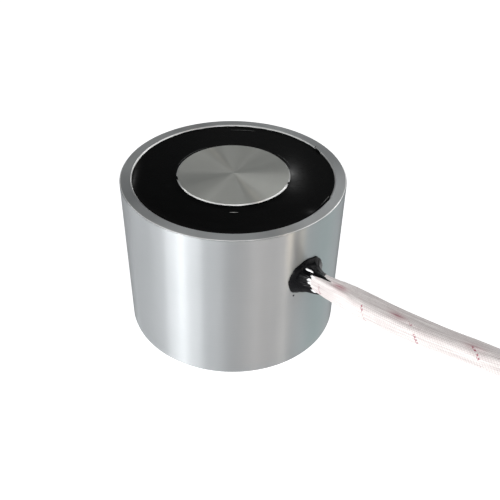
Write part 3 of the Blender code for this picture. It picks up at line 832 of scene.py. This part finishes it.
def plain_material(name, dark, light, roughness, metallic, scale, grain, stretch):
    """A finish with uneven colour, roughness and grain."""
    material, tree, shader = new_material(name)
    point = scaled(object_point(tree), stretch)
    blotch = noise_node(point, scale)
    fine = noise_node(point, scale * 6)
    colour = ramp_node(blotch, (0.3, linear(*dark)), (0.7, linear(*light)))
    rough = times_plus(fine, 0.2, roughness - 0.1)
    feed(shader, Base_Color=colour, Roughness=rough, Metallic=metallic)
    bump_node(shader, fine, grain)
    return material


def smooth_table(table, angle):
    """Values of a closed table at an angle, eased between its rows."""
    return table_row([*table, (table[0][0] + 360, *table[0][1:])], angle % 360)


def sleeve_line(step):
    """The sleeve's centreline, from inside the lead hole to its far end."""
    hole = [
        around(LEAD_AZIMUTH, SLEEVE_START, LEAD_HEIGHT),
        around(LEAD_AZIMUTH, CUP_RADIUS, LEAD_HEIGHT),
    ]
    return smooth_route(hole + [Vector(point) for point in SLEEVE_ROUTE], step)


def line_frames(line):
    """Direction, side and up at each point of a line, without twist."""
    frames = []
    for i, _ in enumerate(line):
        start = line[max(i - 1, 0)]
        end = line[min(i + 1, len(line) - 1)]
        forward = (end - start).normalized()
        side = forward.cross(Vector((0.0, 0.0, 1.0))).normalized()
        frames.append((forward, side, side.cross(forward)))
    return frames


def table_row(table, place):
    """Values of an open table at a place, eased between its rows."""
    for start, end in zip(table, table[1:]):
        if place <= end[0]:
            share = eased((place - start[0]) / (end[0] - start[0]))
            return [a + (b - a) * share for a, b in zip(start[1:], end[1:])]
    return list(table[-1][1:])


def section_radius(distance, turn):
    """Radius of the sleeve at a distance from its start and a turn from its side towards up."""
    twist, fold, size = table_row(SLEEVE_FOLDS, distance)
    own = math.remainder(turn - math.radians(twist), 2 * math.pi)
    wide = abs(math.cos(own) / BOX_HALF_WIDTH) ** BOX_SQUARENESS
    high = abs(math.sin(own) / BOX_HALF_HEIGHT) ** BOX_SQUARENESS
    radius = size * (wide + high) ** (-1 / BOX_SQUARENESS)
    place = own - math.atan2(BOX_HALF_HEIGHT, BOX_HALF_WIDTH) - FOLD_PLACE
    dip = math.exp(-((place / FOLD_WIDTH) ** 2))
    swell = math.exp(-(((place - SWELL_PLACE) / SWELL_WIDTH) ** 2))
    radius += 0.001 * fold * (SWELL_SHARE * swell - dip)
    share = eased((distance - ROUND_FROM) / (ROUND_TO - ROUND_FROM))
    return radius + (SLEEVE_RADIUS - radius) * share


def sleeve_rows():
    """Centre, direction, side, up and distance from the start at even steps along the sleeve."""
    line = sleeve_line(BRAID_STEP)
    step = line_length(line) / (len(line) - 1)
    return [(centre, *axes, i * step) for i, (centre, axes) in enumerate(zip(line, line_frames(line)))]


def on_sleeve(rows, distance, turn, lift):
    """A point at a distance along the sleeve, a turn round it and a lift off its surface."""
    place = distance / rows[1][-1]
    i = min(int(place), len(rows) - 2)
    centre, _, side, up, _ = (
        start.lerp(end, place - i) if isinstance(start, Vector) else start
        for start, end in zip(rows[i], rows[i + 1])
    )
    radius = section_radius(distance, turn) + lift
    return centre + side * (radius * math.cos(turn)) + up * (radius * math.sin(turn))


def braid_phase(distance):
    """Turns that a yarn has made at a distance: its pitch grows up to a place and then stays even."""
    free = min(distance, BRAID_EVEN_FROM)
    turns = math.log(1 + BRAID_PITCH_GROWTH * free / BRAID_FIRST_PITCH) / BRAID_PITCH_GROWTH
    even_pitch = BRAID_FIRST_PITCH + BRAID_PITCH_GROWTH * BRAID_EVEN_FROM
    return turns + (distance - free) / even_pitch


def braid_height(first, second):
    """Relief of two crossing sets of yarns, from 0 in the gaps to 1 on a yarn that lies over."""
    over = (math.floor(first) + math.floor(second)) % 2 == 1
    across = (first if over else second) % 1.0
    along = (second if over else first) % 1.0
    crown = math.sin(math.pi * across) ** 0.6
    arch = math.sin(math.pi * along)
    return crown * (0.45 + 0.55 * arch)


def braided_sleeve(material):
    """Braided tube over two wires: a relief of crossing yarns on a tube with a soft boxy section."""
    rows = sleeve_rows()
    points = []
    phases = []
    for centre, _, side, up, distance in rows:
        phase = braid_phase(distance)
        for k in range(BRAID_SIDES):
            share = k / BRAID_SIDES
            turn = BRAID_SEAM + 2 * math.pi * share
            first = BRAID_CARRIERS * (share + phase)
            second = BRAID_CARRIERS * (share - phase)
            flat = Vector((math.cos(turn), math.sin(turn), 0.0))
            wobble = noise_at(distance * 90, 3 * flat.x, 3 * flat.y)
            ridge = noise_at(distance * 30, 11 * flat.x, 11 * flat.y)
            radius = section_radius(distance, turn) + BRAID_WAVER * wobble + BRAID_WAVER * ridge
            radius += BRAID_RELIEF * (braid_height(first, second) - 0.8)
            place = centre + (side * flat.x + up * flat.y) * radius
            place.z = max(place.z, BRAID_CLEARANCE)
            points.append(place)
            phases.append((first, second))
    obj = add_mesh("braided_sleeve", points, grid_faces(len(rows), BRAID_SIDES), material)
    layer = obj.data.uv_layers.new(name="yarn")
    for polygon in obj.data.polygons:
        seam = polygon.vertices[0] % BRAID_SIDES == BRAID_SIDES - 1
        for loop, vertex in zip(polygon.loop_indices, polygon.vertices):
            wrap = BRAID_CARRIERS if seam and vertex % BRAID_SIDES == 0 else 0
            layer.data[loop].uv = (phases[vertex][0] + wrap, phases[vertex][1] + wrap)
    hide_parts("lead_sleeve")
    return obj, [row[0] for row in rows]


def seal_point(rows, angle, share):
    """A point of the seal's surface, from its foot on the wall (0) to its lip on the sleeve (1)."""
    around_lead = math.radians(angle)
    turn = math.pi - around_lead
    flat = Vector((math.cos(around_lead), math.sin(around_lead), 0.0))
    ragged = noise_at(4 * flat.x, 4 * flat.y, 1.7)
    fine = noise_at(17 * flat.x, 17 * flat.y, 5.1)
    reach, climb = smooth_table(SEAL_EDGE, angle)
    reach += SEAL_REACH_WAVER[0] * ragged + SEAL_REACH_WAVER[1] * fine
    climb += SEAL_CLIMB_WAVER[0] * ragged + SEAL_CLIMB_WAVER[1] * fine
    wall = CUP_RADIUS - SLEEVE_START
    foot = around(
        LEAD_AZIMUTH + reach * flat.x / CUP_RADIUS,
        CUP_RADIUS + SEAL_STAND,
        LEAD_HEIGHT + reach * flat.y,
    )
    distance = climb * share
    first_lift = reach - section_radius(wall, turn)
    belly = math.exp(-(((angle % 360 - BELLY_ANGLE) / BELLY_SPREAD) ** 2)) * min(1.0, distance / SEAL_FLARE)
    lift = SEAL_LIP + (first_lift - SEAL_LIP) * math.exp(-distance / SEAL_FLARE) + BELLY_LIFT * belly
    lift -= (lift - SEAL_LIP) * share ** (4 + 3 * belly)
    start = on_sleeve(rows, wall, turn, first_lift)
    place = on_sleeve(rows, wall + distance, turn, lift) + (foot - start) * (1 - share) ** 4
    swell = math.sin(math.pi * min(share, 1.0)) ** 0.8
    lump = noise.fractal(place * SEAL_LUMP_SCALE, 1.0, 2.0, 2)
    return place + (place - rows[0][0]).normalized() * (SEAL_LUMP * lump * swell)


def epoxy_seal(material):
    """Cast epoxy with a ragged foot on the wall, drawn out along the sleeve in tongues."""
    rows = sleeve_rows()
    wall = CUP_RADIUS - SLEEVE_START
    columns = []
    for k in range(SEAL_SIDES):
        angle = 360 * k / SEAL_SIDES
        surface = [seal_point(rows, angle, (i / SEAL_ROWS) ** 1.2) for i in range(SEAL_ROWS + 1)]
        middle = around(LEAD_AZIMUTH, CUP_RADIUS, LEAD_HEIGHT)
        foot = surface[0]
        out = (foot - middle).normalized()
        level = Vector((foot.x, foot.y, 0.0)).normalized()
        under = [foot + out * aside - level * sunk for aside, sunk in SEAL_FOOT]
        tip = surface[-1]
        inward = (rows[round((wall + SEAL_TUCK_AIM) / rows[1][-1])][0] - tip).normalized()
        columns.append([*under, *surface, tip + inward * SEAL_TUCK])
    count = len(columns[0])
    points = [column[i] for i in range(count) for column in columns]
    obj = add_mesh("cast_seal", points, grid_faces(count, SEAL_SIDES), material)
    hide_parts("lead_seal")
    return obj


def frayed_yarn_and_highlight(material):
    """Loose glass yarn ends of the sleeve that stick in the seal, and a white tuft on the seal's flare as a
    painted highlight.
    """
    rows = sleeve_rows()
    inside = rows[round((CUP_RADIUS - SLEEVE_START) / rows[1][-1]) + 2][0]
    steps = 12
    tubes = []
    for angle, spread, first, last, count, radius in FRAYED_ENDS_AND_HIGHLIGHT:
        for strand in range(count):
            offset = strand / (count - 1) - 0.5
            line = []
            for i in range(steps + 1):
                share = first + (last - first) * i / steps
                sway = 1.5 * noise_at(3 * share, strand, angle)
                fan = angle + spread * offset * (1.2 - 0.5 * i / steps) + sway
                place = seal_point(rows, fan, min(share, 1.0))
                if share > 1.0:
                    place += (seal_point(rows, fan, 1.0) - seal_point(rows, fan, 0.9)) * (share - 1.0) * 10
                line.append(place + (place - inside).normalized() * 0.6 * radius)
            rings = []
            for i, (centre, (_, side, up)) in enumerate(zip(line, line_frames(line))):
                thick = radius * math.sin(math.pi * (i + 0.5) / (steps + 1)) ** 0.5
                rings.append(circle(centre, side, up, thick, 8))
            tubes.append(rings)
    return tube_mesh("frayed_yarn_and_highlight", tubes, material)


def epoxy_fleck(material):
    """A drop of epoxy that fell on the wall beside the seal."""
    azimuth, height = FLECK_PLACE
    points = []
    sides = 20
    for share, lift in FLECK_ROWS:
        for turn in turns_of(sides):
            reach = FLECK_RADIUS * share * (1 + 0.2 * math.sin(2 * turn) + 0.1 * math.sin(3 * turn))
            at = azimuth + reach * math.cos(turn) / CUP_RADIUS
            points.append(around(at, CUP_RADIUS + lift * FLECK_RADIUS, height + reach * math.sin(turn)))
    faces = grid_faces(len(FLECK_ROWS), sides)
    faces.append(tuple(range(len(points) - sides, len(points))))
    return add_mesh("epoxy_fleck", points, faces, material)


def potting_face(material):
    """Epoxy face that climbs the pole and the rim in a thin wave."""
    inner = POLE_RADIUS + FACE_CLEARANCE
    bore = CUP_RADIUS - CUP_WALL
    outer = bore + FACE_LAP
    top = CUP_HEIGHT - POTTING_SINK
    sides = 360
    pole_climb, pole_waver, pole_run = POLE_CLIMB
    rim_climb, rim_waver, rim_run = RIM_CLIMB
    points = []
    for share in POTTING_ROWS:
        radius = inner + (outer - inner) * share
        for turn in turns_of(sides):
            spot = Vector((3 * math.cos(turn), 3 * math.sin(turn), 8 * share))
            wave = noise.noise(spot * 1.3)
            fine = noise.noise(spot * 6.0)
            near_pole = math.exp(-(radius - inner) / pole_run)
            near_rim = math.exp(-(outer - radius) / rim_run)
            climb = near_pole * (pole_climb + pole_waver * wave) + near_rim * (rim_climb + rim_waver * fine)
            height = top - FACE_DIP + climb + FACE_WAVE * wave
            points.append(around(turn, radius, min(height, CUP_HEIGHT - FACE_HEADROOM)))
    for radius, height in (
        (bore - FACE_CLEARANCE, CUP_HEIGHT - MOUTH_CHAMFER - FACE_TUCK),
        (bore - FACE_CLEARANCE, top - POTTING_DEPTH),
        (inner, top - POTTING_DEPTH),
    ):
        points += [around(turn, radius, height) for turn in turns_of(sides)]
    rows = len(points) // sides
    faces = grid_faces(rows, sides)
    last = (rows - 1) * sides
    faces += [(last + k, last + (k + 1) % sides, (k + 1) % sides, k) for k in range(sides)]
    obj = add_mesh("potting_face", points, faces, material)
    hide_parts("potting_ring")
    return obj


def arc_ridges(name, table, height, material):
    """Low ridges of epoxy that run round the axis and taper out at both ends."""
    steps = 24
    turns = turns_of(8)
    tubes = []
    for first, last, start_radius, end_radius, half_width, rise in table:
        rings = []
        for i in range(steps + 1):
            share = i / steps
            azimuth = math.radians(first + (last - first) * share)
            full = math.sin(math.pi * (0.02 + 0.96 * share)) ** 0.6
            waver = 0.3 * noise_at(7 * share, first, 0.0)
            radius = start_radius + (end_radius - start_radius) * share + waver * half_width
            wide = half_width * full * (1 + waver)
            rings.append([
                around(azimuth, radius + wide * math.cos(turn), height + rise * full * math.sin(turn))
                for turn in turns
            ])
        tubes.append(rings)
    return tube_mesh(name, tubes, material)


def turned_mesh(name, profile, sides, materials, parts=()):
    """Turn a profile of (radius, height) points that starts and ends on the axis. Parts are
    (first span, last span, material number) where the finish differs from the first material."""
    points = [Vector((0.0, 0.0, profile[0][1]))]
    for radius, height in profile[1:-1]:
        points += [around(turn, radius, height) for turn in turns_of(sides)]
    points.append(Vector((0.0, 0.0, profile[-1][1])))
    rings = len(profile) - 2
    faces = [(0, 1 + (k + 1) % sides, 1 + k) for k in range(sides)]
    faces += grid_faces(rings, sides, 1)
    last = 1 + (rings - 1) * sides
    faces += [(last + k, last + (k + 1) % sides, len(points) - 1) for k in range(sides)]
    obj = add_mesh(name, points, faces, materials[0])
    for material in materials[1:]:
        obj.data.materials.append(material)
    for first, final, number in parts:
        for polygon in obj.data.polygons[first * sides:final * sides]:
            polygon.material_index = number
    obj.data.set_sharp_from_angle(angle=SHARP_ANGLE)
    return obj


def spread(start, end, count):
    """Profile points from a start up to, but not with, an end."""
    return [
        (start[0] + (end[0] - start[0]) * i / count, start[1] + (end[1] - start[1]) * i / count)
        for i in range(count)
    ]


def cup_profile():
    """The cup's profile, and its spans with the finish of the rim's face (1) or edges (2)."""
    bore = CUP_RADIUS - CUP_WALL
    floor = CUP_BASE - MAGNET_SEAT_DEPTH
    point = MOUNT_HOLE_RADIUS / math.tan(DRILL_POINT_ANGLE / 2)
    corners = [
        (0.0, floor),
        (MAGNET_SEAT_RADIUS, floor),
        (MAGNET_SEAT_RADIUS, CUP_BASE),
        (bore, CUP_BASE),
        (bore, CUP_HEIGHT - MOUTH_CHAMFER),
        (bore + MOUTH_CHAMFER, CUP_HEIGHT),
        (CUP_RADIUS - RIM_CHAMFER, CUP_HEIGHT),
        (CUP_RADIUS - RIM_FACET[0] * RIM_CHAMFER, CUP_HEIGHT - RIM_FACET[1] * RIM_CHAMFER),
        (CUP_RADIUS, CUP_HEIGHT - RIM_CHAMFER),
        (CUP_RADIUS, FOOT_CHAMFER),
        (CUP_RADIUS - FOOT_CHAMFER, 0.0),
        (MOUNT_HOLE_RADIUS + MOUNT_HOLE_CHAMFER, 0.0),
        (MOUNT_HOLE_RADIUS, MOUNT_HOLE_CHAMFER),
        (MOUNT_HOLE_RADIUS, MOUNT_HOLE_DEPTH),
        (0.0, MOUNT_HOLE_DEPTH + point),
    ]
    profile = corners[:5]
    profile += spread(corners[5], corners[6], 4) + corners[6:8]
    wall_start = len(profile)
    profile += spread(corners[8], corners[9], 20) + spread(corners[9], corners[10], 2)
    profile += spread(corners[10], corners[11], 10) + corners[11:]
    return profile, [(4, 5, 2), (5, wall_start - 2, 1), (wall_start - 2, wall_start - 1, 2)]


def cut_lead_hole(cup):
    """Cut the hole for the lead through the cup's wall."""
    drill = bmesh.new()
    outward = around(LEAD_AZIMUTH, 1.0, 0.0)
    place = outward.to_track_quat("Z", "Y").to_matrix().to_4x4()
    place.translation = around(LEAD_AZIMUTH, CUP_RADIUS - CUP_WALL / 2, LEAD_HEIGHT)
    bmesh.ops.create_cone(
        drill,
        cap_ends=True,
        segments=64,
        radius1=LEAD_HOLE_RADIUS,
        radius2=LEAD_HOLE_RADIUS,
        depth=3 * CUP_WALL,
        matrix=place,
    )
    mesh = bpy.data.meshes.new("lead_drill")
    drill.to_mesh(mesh)
    drill.free()
    cutter = linked_object("lead_drill", mesh)
    cut = cup.modifiers.new("lead_hole", "BOOLEAN")
    cut.operation = "DIFFERENCE"
    cut.solver = "EXACT"
    cut.object = cutter
    made = bpy.data.meshes.new_from_object(cup.evaluated_get(bpy.context.evaluated_depsgraph_get()))
    cup.modifiers.clear()
    cup.data = made
    made.shade_smooth()
    made.set_sharp_from_angle(angle=SHARP_ANGLE)
    bpy.data.objects.remove(cutter)


def steel_cup(wall, face, edge):
    """Turned cup with a faced rim, a magnet seat, the lead hole and the base hole."""
    profile, finishes = cup_profile()
    cup = turned_mesh("turned_cup", profile, TURNED_SIDES, [wall, face, edge], finishes)
    cut_lead_hole(cup)
    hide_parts("housing_cup")
    return cup


def steel_pole(face, edge):
    """Centre pole, faced off level with the rim."""
    corners = [
        (0.0, CUP_HEIGHT),
        (POLE_RADIUS - POLE_CHAMFER, CUP_HEIGHT),
        (POLE_RADIUS, CUP_HEIGHT - POLE_CHAMFER),
        (POLE_RADIUS, POLE_BOTTOM + POLE_CHAMFER),
        (POLE_RADIUS - POLE_CHAMFER, POLE_BOTTOM),
        (0.0, POLE_BOTTOM),
    ]
    profile = spread(corners[0], corners[1], 8) + corners[1:]
    pole = turned_mesh("turned_pole", profile, TURNED_SIDES, [face, edge], [(8, 9, 1)])
    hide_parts("pole_core")
    return pole


def hole_thread(material):
    """Thread in the base hole, as a ridge that winds up its wall."""
    root = MOUNT_HOLE_RADIUS - THREAD_SINK
    last = THREAD_STEPS * THREAD_TURNS
    rings = []
    for i in range(last + 1):
        turn = 2 * math.pi * i / THREAD_STEPS
        rise = THREAD_START + THREAD_PITCH * i / THREAD_STEPS
        fade = min(1.0, i / THREAD_RUNOUT, (last - i) / THREAD_RUNOUT)
        rings.append([
            around(turn, root - deep * THREAD_DEPTH * fade, rise + share * THREAD_PITCH)
            for deep, share in THREAD_SECTION
        ])
    obj = tube_mesh("base_thread", [rings], material)
    obj.data.set_sharp_from_angle(angle=SHARP_ANGLE)
    return obj


def add_light(name, place, aim, power, size, colour):
    """An area light at a place that looks at a point."""
    data = bpy.data.lights.new(name, "AREA")
    data.shape = "RECTANGLE"
    data.size, data.size_y = size
    data.energy = power
    data.color = colour
    obj = linked_object(name, data)
    obj.location = place
    obj.rotation_euler = (Vector(aim) - Vector(place)).to_track_quat("-Z", "Y").to_euler()
    return obj


def sky_point(azimuth, elevation, distance):
    """A point in a direction from the magnet's middle."""
    flat = distance * math.cos(math.radians(elevation))
    rise = distance * math.sin(math.radians(elevation))
    return around(math.radians(azimuth), flat, rise + AIM_HEIGHT)


def studio():
    """Pale floor, soft lights and a grey surrounding."""
    material, _, shader = new_material("pale_floor")
    feed(shader, Base_Color=(*linear(205, 206, 207), 1.0), Roughness=0.9, Specular_IOR_Level=0.1)
    feed(shader, Emission_Color=(*WHITE, 1.0), Emission_Strength=FLOOR_GLOW)
    mesh = bpy.data.meshes.new("floor")
    corners = [(-1, -1), (1, -1), (1, 1), (-1, 1)]
    spots = [(x * FLOOR_REACH, y * FLOOR_REACH, -FLOOR_DROP) for x, y in corners]
    mesh.from_pydata(spots, [], [(0, 1, 2, 3)])
    mesh.materials.append(material)
    floor = linked_object("floor", mesh)
    world = bpy.data.worlds.new("surrounding")
    world.use_nodes = True
    feed(world.node_tree.nodes["Background"], Color=(*SURROUNDING_COLOUR, 1.0), Strength=SURROUNDING)
    bpy.context.scene.world = world
    for name, azimuth, elevation, distance, width, height, power, colour in LIGHTS:
        place = sky_point(azimuth, elevation, distance)
        add_light(name, place, (0.0, 0.0, AIM_HEIGHT), power, (width, height), colour)


def photo_camera():
    data = bpy.data.cameras.new("photo_camera")
    data.lens = CAMERA_LENS
    data.sensor_width = SENSOR_WIDTH
    camera = linked_object("photo_camera", data)
    flat = math.cos(CAMERA_ELEVATION)
    back = around(CAMERA_AZIMUTH, flat, math.sin(CAMERA_ELEVATION))
    camera.location = Vector(CAMERA_TARGET) + back * CAMERA_DISTANCE
    camera.rotation_mode = "QUATERNION"
    camera.rotation_quaternion = back.to_track_quat("Z", "Y") @ Quaternion((0, 0, 1), CAMERA_ROLL)
    bpy.context.scene.camera = camera
    return camera


def paint(node, material):
    """Give a CAD node a material in place of its own."""
    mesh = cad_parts[node].data
    mesh.materials.clear()
    mesh.materials.append(material)


def tail_line(side):
    """The route of one lead wire past the sleeve's end, as in the CAD model."""
    line = sleeve_line(SLEEVE_STEP)
    centre = line[-1]
    forward = (line[-1] - line[-2]).normalized()
    sideways = forward.cross(Vector((0.0, 0.0, 1.0))).normalized()
    flat = Vector((forward.x, forward.y, 0.0)).normalized()
    points = [centre + forward * SEAT_GAP + sideways * (side * LEAD_WIRE_SPACING / 2)]
    for along, across, height in TAIL_ROUTE:
        point = centre + flat * along + sideways * (side * across)
        point.z = height
        points.append(point)
    return smooth_route(points, TAIL_STEP)


def line_length(line):
    return sum((end - start).length for start, end in zip(line, line[1:]))


def tail_wire(name, node, side, material):
    """One lead wire past the sleeve's end: a smooth insulated tube."""
    line = tail_line(side)
    sides = 20
    points = []
    for centre, (_, across, up) in zip(line, line_frames(line)):
        points += circle(centre, across, up, LEAD_WIRE_RADIUS * TAIL_FIT, sides)
    rows = len(line)
    faces = grid_faces(rows, sides)
    points += [line[0], line[-1]]
    for k in range(sides):
        j = (k + 1) % sides
        faces.append((j, k, rows * sides))
        faces.append(((rows - 1) * sides + k, (rows - 1) * sides + j, rows * sides + 1))
    obj = add_mesh(name, points, faces, material)
    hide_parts(node)
    return obj, line


def closing_rows(ring, middle, forward, table):
    """Smaller copies of a ring of points round its middle, shifted along the sleeve."""
    return [
        [middle + (point - middle) * size + forward * shift for point in ring]
        for size, shift in table
    ]


def shrink_wrap(material, rows):
    """Shrink film over the sleeve's end, drawn down on its two wires, with soft creases."""
    centre, forward, _, _, _ = rows[-1]
    step = rows[1][-1]
    sides = 96
    stations = 48
    rings = []
    over = SLEEVE_RADIUS + SEAT_GAP + WRAP_WALL
    nose_width = LEAD_WIRE_SPACING / 2 + LEAD_WIRE_RADIUS + WRAP_WALL
    nose_height = LEAD_WIRE_RADIUS + WRAP_WALL
    everywhere, half_drawn, full_drawn = WRAP_CREASES
    for i in range(stations + 1):
        along = -WRAP_OVERLAP + (WRAP_OVERLAP + WRAP_NOSE) * i / stations
        drawn = eased((along - 0.4 * WRAP_SHOULDER) / (WRAP_NOSE - 1.1 * WRAP_SHOULDER))
        row = rows[-1 - round(max(-along, 0.0) / step)]
        middle = row[0] + forward * max(along, 0.0)
        lip = WRAP_LIP * math.exp(-(along + WRAP_OVERLAP) / WRAP_LIP_RUN)
        ring = []
        for turn in turns_of(sides):
            flat = Vector((math.cos(turn), math.sin(turn), 0.0))
            oval = ((flat.x / nose_width) ** 2 + (flat.y / nose_height) ** 2) ** -0.5
            waist = 1 - WRAP_WAIST * drawn * math.exp(-((flat.x / WRAP_WAIST_WIDTH) ** 2))
            crease = noise_at(9 * flat.x, 9 * flat.y, 90 * along)
            radius = (over - WRAP_EASE + (oval - over) * drawn) * waist + lip
            radius += crease * (everywhere + half_drawn * drawn * (1 - drawn) * 4 + full_drawn * drawn)
            ring.append(middle + (row[2] * flat.x + row[3] * flat.y) * radius)
        rings.append(ring)
    start = rows[-1 - round(WRAP_OVERLAP / step)][0]
    nose = centre + forward * WRAP_NOSE
    first_rows = closing_rows(rings[0], start, forward, WRAP_START_ROWS)
    last_rows = closing_rows(rings[-1], nose, forward, WRAP_NOSE_ROWS)
    obj = tube_mesh("shrink_wrap", [[*first_rows, *rings, *last_rows]], material)
    obj.data.set_sharp_from_angle(angle=SOFT_SHARP_ANGLE)
    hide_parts("sleeve_end_wrap")
    return obj


def tinned_strands(name, node, line, material):
    """Tinned strands twisted past the end of a lead wire's insulation, round a straight one."""
    forward = (line[-1] - line[-2]).normalized()
    flat = Vector((forward.x, forward.y, 0.0)).normalized()
    side = flat.cross(Vector((0.0, 0.0, 1.0)))
    up = side.cross(flat)
    start = line[-1] - flat * STRAND_INSET
    length = TINNED_LENGTH + SEAT_GAP + STRAND_INSET
    strand_radius = TINNED_RADIUS / 3
    steps = 40
    tubes = []
    for strand in range(STRAND_COUNT):
        off = 0.0 if strand == 0 else 2 * strand_radius * STRAND_NESTING
        rings = []
        for i in range(steps + 1):
            share = i / steps
            lay = 2 * math.pi * (strand / (STRAND_COUNT - 1) + share * length / STRAND_LAY)
            centre = start + flat * (length * share) + (side * math.cos(lay) + up * math.sin(lay)) * off
            rings.append(circle(centre, side, up, strand_radius, 12))
        tubes.append(rings)
    obj = tube_mesh(name, tubes, material)
    obj.data.set_sharp_from_angle(angle=SOFT_SHARP_ANGLE)
    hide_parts(node)
    return obj


def main():
    bpy.context.scene.view_settings.view_transform = "Standard"
    steel = {name: turned_metal(name, *finish) for name, *finish in TURNED_FINISHES}
    epoxy = {name: cast_epoxy(name, *finish) for name, *finish in CAST_FINISHES}
    plain = {name: plain_material(name, *finish) for name, *finish in PLAIN_FINISHES}
    for node, finish in HIDDEN_FINISHES.items():
        paint(node, plain[finish])
    photo_camera()
    studio()
    steel_cup(steel["wall_steel_painted_shade"], steel["rim_steel"], steel["chamfer_painted_highlight"])
    steel_pole(steel["faced_steel"], steel["chamfer_painted_highlight"])
    sleeve, line = braided_sleeve(braid_material())
    seal = epoxy_seal(epoxy["seal_black"])
    frayed_yarn_and_highlight(plain["glass_yarn"])
    epoxy_fleck(epoxy["seal_black"])
    potting_face(epoxy["potting_black"])
    arc_ridges("epoxy_smears", EPOXY_SMEARS, CUP_HEIGHT, epoxy["potting_black"])
    # Painted highlight: grey epoxy on the meniscus ridges along the pole and rim
    arc_ridges("face_ridges", FACE_RIDGES, CUP_HEIGHT - POTTING_SINK, plain["ridge_highlight_epoxy"])
    # Painted glints: light grey epoxy on low ridges of the face
    arc_ridges("face_painted_glints", FACE_PAINTED_GLINTS, CUP_HEIGHT - POTTING_SINK, plain["glint_painted_epoxy"])
    hole_thread(steel["wall_steel_painted_shade"])
    tails = [
        tail_wire("lead_tail_" + which, "tail_wire_" + which, side, plain[finish])
        for which, side, finish in LEAD_ENDS
    ]
    wrap = shrink_wrap(plain["shrink_film"], sleeve_rows())
    tips = [
        tinned_strands("strands_" + which, "tinned_end_" + which, path, plain["tinned_strands"])
        for (which, _, _), (_, path) in zip(LEAD_ENDS, tails)
    ]


main()
